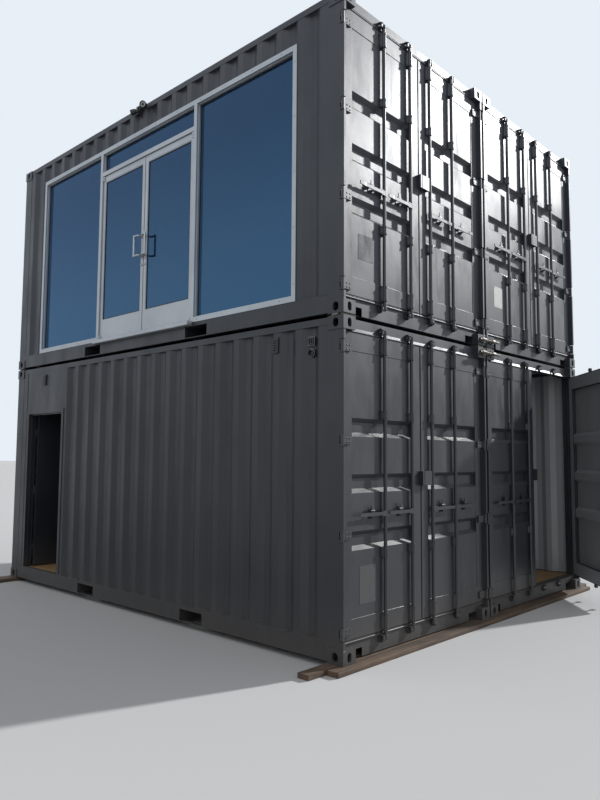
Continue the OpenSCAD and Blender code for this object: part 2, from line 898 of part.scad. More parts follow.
module shop_threshold() {
    nose = 12;
    ledge_z = shop_z0 + shop_sill_h - ledge_h;
    front = concat(
        [[0, ledge_z]],
        [for (a = [0:15:90]) [-ledge_out + nose - nose * sin(a), ledge_z + nose - nose * cos(a)]],
        [[-ledge_out, ledge_z + ledge_h - 8]],
        ridged(-ledge_out + 2, 0, ledge_z + ledge_h, 7, 1.5),
        [[0, ledge_z + ledge_h - 1.5]]
    );
    color(alu) at_container(1, 0) shop_frame_at() translate([shop_x, 0, 0]) rotate([90, 0, 90]) {
        translate([0, 0, -shop_door_w / 2]) linear_extrude(shop_door_w)
            polygon(concat([[0, shop_z0]], ridged(0, tube_d, shop_z0 + shop_sill_h, 9, 2), [[tube_d, shop_z0]]));
        translate([0, 0, -shop_door_w / 2 - 30]) linear_extrude(shop_door_w + 60) polygon(front);
        for (s = [-1, 1])
            translate([-ledge_out / 2, ledge_z + ledge_h / 2, s * (shop_door_w / 2 + 30)])
                cylinder(r = ledge_h / 2 - 9, h = 12, center = true);
    }
}

// A round head drawn about its axis, with a recessed lens at its open end
module camera_head(r, l) {
    rotate_extrude() polygon([
        [0, 0], [r * 0.45, 0], [r * 0.7, l * 0.08], [r * 0.88, l * 0.3], [r, l * 0.7], [r, l],
        [r - 5, l], [r - 6, l - 12], [r * 0.45, l - 12], [r * 0.38, l - 7], [0, l - 5]
    ]);
}

// A body on the top rail between two arms with a head each
module security_camera() {
    body = [80, 44, 60];
    body_x = -83;
    arm_r = 11;
    arm_v = -22;
    far_head = [-140, arm_v - 4, 0];
    near_head = [28, arm_v + 4, 2];
    color(black) at_container(1, 0) translate([0, -half_w + post_v, top_z - body[2] / 2 - 6]) {
        translate([body_x - body[0] / 2, -body[1], -body[2] / 2]) cube(body);
        translate([body_x, -body[1] + 1, 0]) rotate([90, 0, 0]) cylinder(r = 24, h = 8);
        translate([far_head[0] - 8, arm_v, 0]) rotate([0, 90, 0]) cylinder(r = arm_r, h = near_head[0] - far_head[0] + 14);
        translate(near_head) rotate([100, 0, 30]) camera_head(40, 78);
        translate(far_head) rotate([105, 0, -60]) camera_head(35, 72);
    }
}

// Personnel door
pd_jamb = pd_x0 + pd_face;
pd_clear = pd_w - 2 * pd_face;
pd_pin = [pd_jamb, pd_d + 8];
pd_leaf_h = pd_h - pd_face - 2 * pd_gap;
pd_hinge_z = [250, 1040, 1830];
pd_knuckle = 50;

module pd_at() {
    at_container(0, 0) translate([0, -half_w + 2, rail_top]) children();
}

module pd_knuckle_post(z) {
    translate([pd_pin[0], pd_pin[1], z - pd_knuckle]) {
        cylinder(r = 7, h = pd_knuckle - run_gap);
        translate([-7, -12, 0]) cube([7, 12, pd_knuckle - run_gap]);
        cylinder(r = 3.5, h = 2 * pd_knuckle - 4);
    }
}

module doorway_frame() {
    stop = 16;
    stop_v = pd_d - pd_leaf_t - pd_gap - 20;
    color(paint) pd_at() {
        difference() {
            translate([pd_x0, 0, 0]) cube([pd_w, pd_d, pd_h]);
            translate([pd_jamb, -1, -1]) cube([pd_clear, pd_d + 2, pd_h - pd_face + 1]);
        }
        translate([pd_jamb - 1, stop_v, 0]) cube([stop + 1, 20, pd_h - pd_face]);
        translate([pd_jamb + pd_clear - stop, stop_v, 0]) cube([stop + 1, 20, pd_h - pd_face]);
        translate([pd_jamb - 1, stop_v, pd_h - pd_face - stop]) cube([pd_clear + 2, 20, stop + 1]);
        for (z = pd_hinge_z) pd_knuckle_post(z);
    }
}

// Drawn closed from the pin, along +X, and turned open by a right angle
module personnel_leaf_closed() {
    w = pd_clear - 2 * pd_gap;
    difference() {
        union() {
            translate([pd_gap, -8 - pd_leaf_t, pd_gap]) cube([w, pd_leaf_t, pd_leaf_h]);
            for (z = pd_hinge_z) {
                translate([0, 0, z]) cylinder(r = 7, h = pd_knuckle);
                translate([0, -12, z]) cube([pd_gap + 4, 12, pd_knuckle]);
            }
        }
        for (z = pd_hinge_z) translate([0, 0, z - 1]) cylinder(r = 3.5 + run_gap, h = pd_knuckle + 2);
    }
    for (s = [0, 1]) translate([w - 60, s == 0 ? -8 - pd_leaf_t : -8, lever_z]) mirror([0, 1 - s, 0]) {
        rotate([-90, 0, 0]) cylinder(r = 24, h = 8);
        rotate([-90, 0, 0]) cylinder(r = 10, h = 50);
        translate([10 - lever_l, 40, -10]) cube([lever_l, 16, 20]);
    }
}

module personnel_leaf() {
    color(paint) pd_at() translate([pd_pin[0], pd_pin[1], 0]) rotate(90) personnel_leaf_closed();
}

wall_folds = floor((cont_l - 2 * cast_l - wall_out / 2) / wall_pitch);

// A hood with a sloping top and five louvre slots
module vent_cover() {
    n = 2;
    slot_pitch = vent_h / 7;
    slope = vent_d;
    difference() {
        translate([-vent_w / 2, 0, 0]) rotate([90, 0, 90]) linear_extrude(vent_w) polygon([
            [0, -vent_h / 2], [-vent_d, -vent_h / 2], [-vent_d, vent_h / 2 - slope], [-2, vent_h / 2], [0, vent_h / 2]
        ]);
        for (i = [-n:n]) translate([-vent_w / 2 + 9, -vent_d - 1, (i - 0.6) * slot_pitch])
            rotate([25, 0, 0]) cube([vent_w - 18, 14, slot_pitch * 0.4]);
    }
}

module vent_covers() {
    color(paint) {
        for (s = [-1, 1], c = [[0, 0], [0, 1], [1, 1]])
            at_container(c[0], c[1]) mirror([0, c[1], 0])
                translate([s * (wall_folds / 2 - 2) * wall_pitch, -half_w + wall_set, wall_top - vent_drop])
                    vent_cover();
    }
}

// A square two-pin inlet over a round shrouded one, each on a box against the inner flat
module power_inlets() {
    top = wall_top - inlet_drop;
    x = (wall_folds - 1) / 2 * wall_pitch;
    back = 12;
    flange = 8;
    color(black) at_container(0, 0) {
        translate([x, -half_w + wall_set + wall_fold, top]) rotate([90, 0, 0]) difference() {
            union() {
                translate([-30, -33, 0]) cube([60, 66, back]);
                translate([-inlet_w / 2, -42, back]) cube([inlet_w, 84, flange]);
                translate([-30, -32, back]) cube([60, 64, 20]);
            }
            for (s = [-1, 1]) translate([s * 13 - 6, -22, back + 4]) cube([12, 44, 20]);
        }
        translate([x, -half_w + wall_set + wall_fold, top - inlet_pitch]) rotate([90, 0, 0]) difference() {
            union() {
                cylinder(r = 30, h = back);
                translate([0, 0, back]) cylinder(r = inlet_w / 2, h = flange);
                translate([0, 0, back]) cylinder(r = 32, h = 24);
            }
            translate([0, 0, back + 4]) cylinder(r = 25, h = 30);
        }
    }
}

module stacking_plates() {
    color(zinc) each_container(0) for (s = [-1, 1], t = [-1, 1])
        translate([s * (half_l - cast_l / 2), t * (half_w - cast_w / 2), cont_h]) {
            translate([-70, -60, 0]) cube([140, 120, stack_gap]);
            translate([-30, t > 0 ? 50 : -90, 4]) cube([60, 40, 12]);
        }
}

bridge_end = 240;

// A threaded rod with two claws that hook behind neighbouring castings' end openings
module bridge_clamp() {
    rod = 12;
    rod_x = 30;
    arm = 26;
    claw = end_hole - 12;
    plate = [10, end_hole + 16, 54];
    seat = 0.3;
    hook_x = 20;
    hook_y = end_hole / 2 + 8;
    nut = 24;
    for (s = [-1, 1]) translate([0, s * (cast_w + side_gap) / 2, 0]) {
        translate([-cast_t - hook_x + seat, -claw / 2, -arm / 2]) cube([cast_t + hook_x + rod_x - seat, claw, arm]);
        translate([-cast_t - hook_x + seat, s > 0 ? -hook_y : 0, -arm / 2]) cube([hook_x - 2 * seat, hook_y, arm]);
        translate([seat, -plate[1] / 2, -plate[2] / 2]) cube(plate);
        translate([rod_x, -claw / 2, 0]) rotate([-90, 0, 0]) cylinder(r = rod + 9, h = claw);
        translate([rod_x, (s * (claw + nut) - nut) / 2, 0]) rotate([-90, 0, 0]) cylinder(r = 21, h = nut, $fn = 6);
    }
    translate([rod_x, bridge_end - bridge_l, 0]) rotate([-90, 0, 0]) cylinder(r = rod, h = bridge_l);
}

module bridge_clamps() {
    color(zinc) for (z = [level_z[0] + cont_h - cast_h / 2, level_z[1] + cast_h / 2])
        translate([stack_x, 0, z]) for (m = [0, 1]) mirror([m, 0, 0]) translate([half_l, 0, 0]) bridge_clamp();
}

// Cargo leaf, drawn closed on the -Y side of its container
function leaf_face(v) =
    concat(
        [[leaf_z + leaf_bottom, v]],
        [for (i = [0:2]) let (c = fold_z + i * fold_pitch)
            each [[c - fold_h / 2, v], [c - fold_h / 2 + fold_d, v + fold_d],
                  [c + fold_h / 2 - fold_d, v + fold_d], [c + fold_h / 2, v]]],
        [[leaf_z + leaf_h - leaf_top, v]]
    );

module leaf_panel() {
    translate([half_l - leaf_set - panel_set, -half_w + leaf_v + leaf_w - leaf_stile + 1, 0])
        rotate([90, -90, 0]) linear_extrude(leaf_w - 2 * leaf_stile + 2)
            polygon(concat(leaf_face(0), reversed(leaf_face(sheet_t))));
}

// A guide's plan about its rod: feet on the leaf, a tapered body and a round cap with the bore
module rod_guide_plan(wall) {
    back = leaf_set - rod_u;
    cap = rod_r + wall;
    foot_w = guide_w + 30;
    foot_t = 6;
    difference() {
        union() {
            circle(r = cap);
            polygon([[-back, -guide_w / 2], [-back, guide_w / 2], [0, cap], [0, -cap]]);
            translate([-back - panel_set - 1, -foot_w / 2]) square([panel_set + 1 + foot_t, foot_w]);
        }
        circle(r = rod_r + run_gap);
    }
}

module rod_guide(y, z, tall) {
    band = 16;
    translate([half_l - rod_u, y, z]) {
        linear_extrude(tall, center = true) rod_guide_plan(6);
        for (s = [-1, 1]) translate([0, 0, s * (tall - band) / 2]) linear_extrude(band, center = true) rod_guide_plan(9);
    }
}

// Plate, two shelves under and over the handle's bar, and the catch swung up on its pin
module handle_retainer(y) {
    plate = 5;
    gap = 5;
    w = 56;
    back = leaf_set + panel_set + 1;
    deep = back - rod_u + 14;
    low = -lever_h / 2 - gap - plate;
    high = lever_h / 2 + gap;
    catch_h = 46;
    translate([half_l - back, y - w / 2, handle_z]) {
        translate([0, 0, low - 16]) cube([plate + 1, w, high - low + 46]);
        for (z = [low, high]) translate([0, 6, z]) linear_extrude(plate)
            polygon([[0, 0], [deep - 8, 0], [deep, 8], [deep, w - 20], [deep - 8, w - 12], [0, w - 12]]);
        for (t = [8, w - 18]) translate([0, t, low - 14]) cube([18, plate, 15]);
        translate([deep - 12, 0, high + plate + 5]) rotate([-90, 0, 0]) cylinder(r = 6, h = w);
        translate([deep - 16, 10, high + plate + 5]) cube([8, w - 20, catch_h]);
        translate([0, 10, high + plate - 1]) cube([deep - 12, plate, 8]);
    }
}

module hinge_blade(z) {
    plate = 10;
    reach_v = 130;
    translate([half_l - pin_u, -half_w + pin_v, z - knuckle_h / 2 + run_gap]) difference() {
        union() {
            cylinder(r = knuckle_r, h = knuckle_h);
            translate([-plate - 10, 0, 0]) cube([plate, reach_v, knuckle_h]);
            translate([pin_u - leaf_set - 1, leaf_v - pin_v + 6, 0])
                cube([leaf_set - pin_u - 9, reach_v - leaf_v + pin_v - 6, knuckle_h]);
        }
        translate([0, 0, -1]) cylinder(r = pin_r + run_gap, h = knuckle_h + 2);
    }
}

// The lock box over the seam: a narrow lug on the left leaf and the hollow box on the right one
module lock_box(wide) {
    wall = 6;
    lug_w = 22;
    w = wide ? lock_box_w : lug_w;
    deep = leaf_set + 1 - lock_box_u;
    translate([half_l - leaf_set - 1, -lock_box_in - w, lock_box_z - lock_box_h / 2])
        difference() {
            cube([deep, w, lock_box_h]);
            if (wide) translate([wall, wall, -1]) cube([deep - 2 * wall, w - 2 * wall, lock_box_h - wall + 1]);
        }
}

module cargo_leaf(right) {
    x0 = half_l - leaf_set - leaf_t;
    y0 = -half_w + leaf_v;
    difference() {
        translate([x0, y0, leaf_z]) cube([leaf_t, leaf_w, leaf_h]);
        translate([x0 - 1, y0 + leaf_stile, leaf_z + leaf_bottom])
            cube([leaf_t + 2, leaf_w - 2 * leaf_stile, leaf_h - leaf_bottom - leaf_top]);
    }
    leaf_panel();
    for (y = [-rod_outer, -rod_inner]) {
        for (z = long_guide_z) rod_guide(y, z, guide_long);
        for (z = short_guide_z) rod_guide(y, z, guide_short);
        handle_retainer(y - retainer_y);
    }
    for (z = hinge_z) hinge_blade(z);
    lock_box(right);
}

// A cam's plan about its rod: a collar and a claw-shaped nose
module cam_plan() {
    collar = rod_r + 5;
    circle(r = collar);
    polygon([
        [-12, -10], [-8, -collar], [-8, -cam_l + 6], [-2, -cam_l], [8, -cam_l], [13, -cam_l + 8],
        [11, -collar - 6], [collar - 3, -8]
    ]);
}

// A handle's bar in plan about its rod, with its grip bent outwards
module lever_plan() {
    rear = 8;
    front = 20;
    grip_rear = 13;
    grip_front = 23;
    bend_y = -handle_l + 95;
    grip_y = bend_y - 30;
    tip = 6;
    polygon([
        [rear, 0], [rear, bend_y], [grip_rear, grip_y], [grip_rear, -handle_l + tip], [grip_rear + 5, -handle_l],
        [grip_front, -handle_l + tip], [grip_front, grip_y], [front, bend_y], [front, 0]
    ]);
}

module lock_rod(y) {
    hub = rod_r + 4;
    hub_h = 60;
    cheek = 8;
    cheek_l = 62;
    pivot_x = 14;
    translate([half_l - rod_u, y, 0]) {
        translate([0, 0, rod_bottom]) cylinder(r = rod_r, h = rod_top - rod_bottom);
        for (z = cam_z) translate([0, 0, z]) linear_extrude(cam_h) cam_plan();
        translate([0, 0, handle_z - hub_h / 2]) cylinder(r = hub, h = hub_h);
        for (s = [-1, 1]) translate([0, -cheek_l, handle_z + s * (lever_h + cheek) / 2 - cheek / 2])
            cube([hub, cheek_l, cheek]);
        translate([pivot_x, pivot_x - cheek_l, handle_z - lever_h / 2 - cheek - 3])
            cylinder(r = 6, h = lever_h + 2 * cheek + 6);
        translate([0, 0, handle_z]) linear_extrude(lever_h, center = true) lever_plan();
    }
}

// Right-hand pieces are the left-hand ones mirrored; turn swings a leaf open from its own hinge
module leaf_side(level, row, right, turn) {
    s = right ? 1 : -1;
    hinge = [half_l - pin_u, s * (half_w - pin_v), 0];
    at_container(level, row)
        translate(hinge) rotate(s * turn) translate(-hinge) mirror([0, right ? 1 : 0, 0]) children();
}

module upper_front_leaves() {
    color(paint) for (right = [false, true]) leaf_side(1, 0, right, 0) cargo_leaf(right);
}

module upper_rear_leaves() {
    color(paint) for (right = [false, true]) leaf_side(1, 1, right, 0) cargo_leaf(right);
}

module upper_lock_rods() {
    color(paint) for (row = [0, 1], right = [false, true], y = [rod_outer, rod_inner])
        leaf_side(1, row, right, 0) lock_rod(-y);
}

module front_left_leaf() {
    color(paint) leaf_side(0, 0, false, 0) cargo_leaf(false);
}

module front_right_leaf() {
    color(paint) leaf_side(0, 0, true, 0) cargo_leaf(true);
}

module rear_left_leaf() {
    color(paint) leaf_side(0, 1, false, 0) cargo_leaf(false);
}

module rear_right_leaf() {
    color(paint) leaf_side(0, 1, true, open_deg) cargo_leaf(true);
}

module front_left_outer_rod() {
    color(paint) leaf_side(0, 0, false, 0) lock_rod(-rod_outer);
}

module front_left_inner_rod() {
    color(paint) leaf_side(0, 0, false, 0) lock_rod(-rod_inner);
}

module front_right_inner_rod() {
    color(paint) leaf_side(0, 0, true, 0) lock_rod(-rod_inner);
}

module front_right_outer_rod() {
    color(paint) leaf_side(0, 0, true, 0) lock_rod(-rod_outer);
}

module rear_left_outer_rod() {
    color(paint) leaf_side(0, 1, false, 0) lock_rod(-rod_outer);
}

module rear_left_inner_rod() {
    color(paint) leaf_side(0, 1, false, 0) lock_rod(-rod_inner);
}

module rear_right_inner_rod() {
    color(paint) leaf_side(0, 1, true, open_deg) lock_rod(-rod_inner);
}

module rear_right_outer_rod() {
    color(paint) leaf_side(0, 1, true, open_deg) lock_rod(-rod_outer);
}

sole_boards();
lower_posts();
upper_posts();
lower_rails();
upper_rails();
floors();
floor_joists();
roofs();
lower_front_wall();
door_head_panel();
lower_rear_wall();
upper_front_wall();
storefront_head_wall();
upper_rear_wall();
lower_party_walls();
upper_party_walls();
lower_end_walls();
upper_end_walls();
storefront_frame();
storefront_glass();
shop_left_leaf();
shop_right_leaf();
shop_leaf_glass();
shop_pulls();
shop_push_bars();
shop_threshold();
security_camera();
doorway_frame();
personnel_leaf();
vent_covers();
power_inlets();
stacking_plates();
bridge_clamps();
upper_front_leaves();
upper_rear_leaves();
upper_lock_rods();
front_left_leaf();
front_right_leaf();
rear_left_leaf();
rear_right_leaf();
front_left_outer_rod();
front_left_inner_rod();
front_right_inner_rod();
front_right_outer_rod();
rear_left_outer_rod();
rear_left_inner_rod();
rear_right_inner_rod();
rear_right_outer_rod();
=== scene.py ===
"""Looks of a two-storey cabin made of four shipping containers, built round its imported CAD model.

Every length is in metres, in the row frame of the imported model: X runs along the containers with
the cargo doors at +X, the storefront faces -Y and Z is up.
"""

from __future__ import annotations

import json
import logging
import math
from dataclasses import dataclass, field
from enum import Enum
from functools import cache
from itertools import product
from typing import Any, Iterable, Sequence

import bmesh
import bpy
import numpy as np
from mathutils import Matrix, Vector

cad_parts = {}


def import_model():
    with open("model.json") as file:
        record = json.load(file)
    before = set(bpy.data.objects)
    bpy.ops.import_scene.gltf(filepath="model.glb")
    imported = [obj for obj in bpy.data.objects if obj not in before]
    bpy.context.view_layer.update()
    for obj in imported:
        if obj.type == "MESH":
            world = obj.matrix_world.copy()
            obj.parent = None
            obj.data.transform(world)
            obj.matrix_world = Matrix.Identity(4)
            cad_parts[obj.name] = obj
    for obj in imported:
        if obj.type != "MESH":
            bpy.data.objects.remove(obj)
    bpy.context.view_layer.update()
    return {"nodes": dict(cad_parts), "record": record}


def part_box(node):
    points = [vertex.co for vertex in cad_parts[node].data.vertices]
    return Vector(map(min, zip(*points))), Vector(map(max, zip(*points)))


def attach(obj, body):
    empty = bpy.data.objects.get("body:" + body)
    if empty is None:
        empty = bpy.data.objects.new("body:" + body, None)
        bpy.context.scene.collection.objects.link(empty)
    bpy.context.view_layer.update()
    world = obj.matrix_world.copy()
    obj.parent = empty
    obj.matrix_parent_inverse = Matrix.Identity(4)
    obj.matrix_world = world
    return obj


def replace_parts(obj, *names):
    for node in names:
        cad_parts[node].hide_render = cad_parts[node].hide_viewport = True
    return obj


LOG = logging.getLogger("cabin")
LEVELS = ("lower", "upper")
ROWS = ("front", "rear")
OPEN_ANGLE = 42.0
BEAD_RADIUS = 0.004
BEAD_STEP = 0.05
SHARPEST_MITRE = 0.3
ALONG = np.array([1.0, 0.0, 0.0])
ACROSS = np.array([0.0, 1.0, 0.0])
FRONT = np.array([0.0, -1.0, 0.0])
UP = np.array([0.0, 0.0, 1.0])

Colour = tuple[float, float, float]
Spots = Sequence[Sequence[float]]
Shape = tuple[np.ndarray, list[np.ndarray]]
Opening = tuple[float, float, float, float]


def srgb(red: int, green: int, blue: int) -> Colour:
    """Gives the linear colour of an sRGB colour in steps of 0 to 255.

    Args:
        red: Red share.
        green: Green share.
        blue: Blue share.

    Returns:
        The three linear shares, by the sRGB curve.
    """
    share = np.array([red, green, blue]) / 255.0
    linear = np.where(share <= 0.04045, share / 12.92, ((share + 0.055) / 1.055) ** 2.4)
    return tuple(float(value) for value in linear)


class Value:
    """An output socket whose arithmetic adds Math nodes to its tree."""

    def __init__(self, tree: Tree, socket: bpy.types.NodeSocket) -> None:
        """Keeps the socket and the tree that it belongs to."""
        self.tree = tree
        self.socket = socket

    def _math(self, operation: str, *others: Any) -> Value:
        """Adds a Math node on this value and the others, in that order."""
        return self.tree.value("ShaderNodeMath", {"operation": operation}, dict(enumerate((self, *others))))

    def __add__(self, other: Any) -> Value:
        """Adds a value or a number."""
        return self._math("ADD", other)

    __radd__ = __add__

    def __sub__(self, other: Any) -> Value:
        """Takes a value or a number away."""
        return self._math("SUBTRACT", other)

    def __rsub__(self, other: float) -> Value:
        """Takes this value away from a number."""
        return self._math("MULTIPLY", -1.0) + other

    def __mul__(self, other: Any) -> Value:
        """Multiplies by a value or a number."""
        return self._math("MULTIPLY", other)

    __rmul__ = __mul__

    def __pow__(self, power: float) -> Value:
        """Raises to a power."""
        return self._math("POWER", power)

    def above(self, limit: float) -> Value:
        """Gives 1 where this value is above the limit, or else 0."""
        return self._math("GREATER_THAN", limit)

    def larger(self, other: Any) -> Value:
        """Gives the larger of two values."""
        return self._math("MAXIMUM", other)

    def ramp(self, low: float, high: float, bottom: float = 0.0, top: float = 1.0) -> Value:
        """Rises smoothly from bottom at low to top at high, and may run backwards."""
        inputs = {"Value": self, "From Min": low, "From Max": high, "To Min": bottom, "To Max": top}
        return self.tree.value("ShaderNodeMapRange", {"interpolation_type": "SMOOTHSTEP"}, inputs, "Result")


class Tree:
    """A node tree that nodes are added to, with their settings and inputs."""

    def __init__(self, tree: bpy.types.NodeTree) -> None:
        """Empties the tree."""
        self.tree = tree
        self.tree.nodes.clear()

    def node(self, kind: str, settings: dict[str, Any], inputs: dict[Any, Any]) -> bpy.types.Node:
        """Adds one node.

        Args:
            kind: The node's type.
            settings: Its own settings, which are set first.
            inputs: Values or links by the socket's identifier, name or index.

        Returns:
            The node.
        """
        node = self.tree.nodes.new(kind)
        for key, value in settings.items():
            setattr(node, key, value)
        for key, value in inputs.items():
            self.feed(self.socket(node.inputs, key), value)
        return node

    def value(self, kind: str, settings: dict[str, Any], inputs: dict[Any, Any], output: Any = 0) -> Value:
        """Adds one node, and gives one of its outputs for arithmetic."""
        return Value(self, self.node(kind, settings, inputs).outputs[output])

    @staticmethod
    def socket(sockets: Any, key: Any) -> bpy.types.NodeSocket:
        """Finds a socket.

        Args:
            sockets: A node's inputs or outputs.
            key: The socket's index, identifier or name.

        Returns:
            The socket.
        """
        if isinstance(key, int):
            return sockets[key]
        for socket in sockets:
            if socket.identifier == key:
                return socket
        return sockets[key]

    def feed(self, socket: bpy.types.NodeSocket, value: Any) -> None:
        """Links a value to a socket, or sets the socket where the value is a constant.

        Args:
            socket: The input.
            value: A value, an output, a colour or a number.
        """
        if isinstance(value, Value):
            self.tree.links.new(value.socket, socket)
        elif isinstance(value, bpy.types.NodeSocket):
            self.tree.links.new(value, socket)
        elif isinstance(value, tuple) and len(value) == 3 and socket.type == "RGBA":
            socket.default_value = (*value, 1.0)
        else:
            socket.default_value = value


class Graph(Tree):
    """The node tree of one material, with a Principled BSDF at its end."""

    def __init__(self, name: str) -> None:
        """Makes the material.

        Args:
            name: The material's name.
        """
        self.material = bpy.data.materials.new(name)
        self.material.use_nodes = True
        super().__init__(self.material.node_tree)
        self.shader = self.node("ShaderNodeBsdfPrincipled", {}, {})
        self.node("ShaderNodeOutputMaterial", {}, {"Surface": self.shader.outputs["BSDF"]})
        self.coordinates = self.node("ShaderNodeTexCoord", {}, {}).outputs["Object"]

    def axis(self, index: int) -> Value:
        """Gives one of the object's coordinates, in metres."""
        return self.value("ShaderNodeSeparateXYZ", {}, {"Vector": self.coordinates}, index)

    def own_facing(self, index: int) -> Value:
        """Gives one part of the surface's direction, from -1 to 1, in the piece's own axes."""
        normal = self.node("ShaderNodeTexCoord", {}, {}).outputs["Normal"]
        return self.value("ShaderNodeSeparateXYZ", {}, {"Vector": normal}, index)

    def noise(
        self,
        scale: float,
        detail: float = 3.0,
        roughness: float = 0.55,
        stretch: Sequence[float] = (1.0, 1.0, 1.0),
        distortion: float = 0.0,
    ) -> Value:
        """Gives fractal noise from 0 to 1.

        Args:
            scale: How many features it has in a metre.
            detail: How many finer layers it has.
            roughness: How much the finer layers count.
            stretch: Factors on the three coordinates, which draw the pattern out where they are under 1.
            distortion: How far the pattern is swirled.

        Returns:
            The noise.
        """
        place = self.node("ShaderNodeMapping", {}, {"Vector": self.coordinates, "Scale": tuple(stretch)})
        inputs = {
            "Vector": place.outputs["Vector"],
            "Scale": scale,
            "Detail": detail,
            "Roughness": roughness,
            "Distortion": distortion,
        }
        return self.value("ShaderNodeTexNoise", {}, inputs)

    def cells(self, scale: float) -> Value:
        """Gives a random shade to the cell round each of scattered points."""
        return self.value("ShaderNodeTexVoronoi", {}, {"Vector": self.coordinates, "Scale": scale}, "Color")

    def mix(self, share: Any, first: Any, second: Any) -> bpy.types.NodeSocket:
        """Mixes two colours.

        Args:
            share: The second colour's share, from 0 to 1.
            first: The first colour.
            second: The second colour.

        Returns:
            The mixed colour.
        """
        inputs = {"Factor_Float": share, "A_Color": first, "B_Color": second}
        node = self.node("ShaderNodeMix", {"data_type": "RGBA"}, inputs)
        return self.socket(node.outputs, "Result_Color")

    def bump(self, height: Value, distance: float, under: Any = None) -> bpy.types.NodeSocket:
        """Gives a surface direction bent by a height.

        Args:
            height: The height, whose 1 is worth the distance.
            distance: A length in metres.
            under: The direction that is bent, if it isn't the surface's own.

        Returns:
            The bent direction.
        """
        inputs = {"Height": height, "Distance": distance}
        if under is not None:
            inputs["Normal"] = under
        return self.node("ShaderNodeBump", {}, inputs).outputs["Normal"]

    def finish(self, **sockets: Any) -> bpy.types.Material:
        """Sets the shader's sockets.

        Args:
            sockets: What each socket gets, by its name with _ for a space.

        Returns:
            The material.
        """
        for key, value in sockets.items():
            self.feed(self.shader.inputs[key.replace("_", " ")], value)
        return self.material


class Inside(Enum):
    """Which faces of a sheet look into a room, by the way they face or by the room that they line."""

    NONE = None
    SIDE_WALL = "side wall"
    END_WALL = (1.0, 0.0, 0.0)
    ROOF = (0.0, 0.0, -1.0)
    LEAF = (-1.0, 0.0, 0.0)
    OPEN_LEAF = (-math.cos(math.radians(OPEN_ANGLE)), -math.sin(math.radians(OPEN_ANGLE)), 0.0)


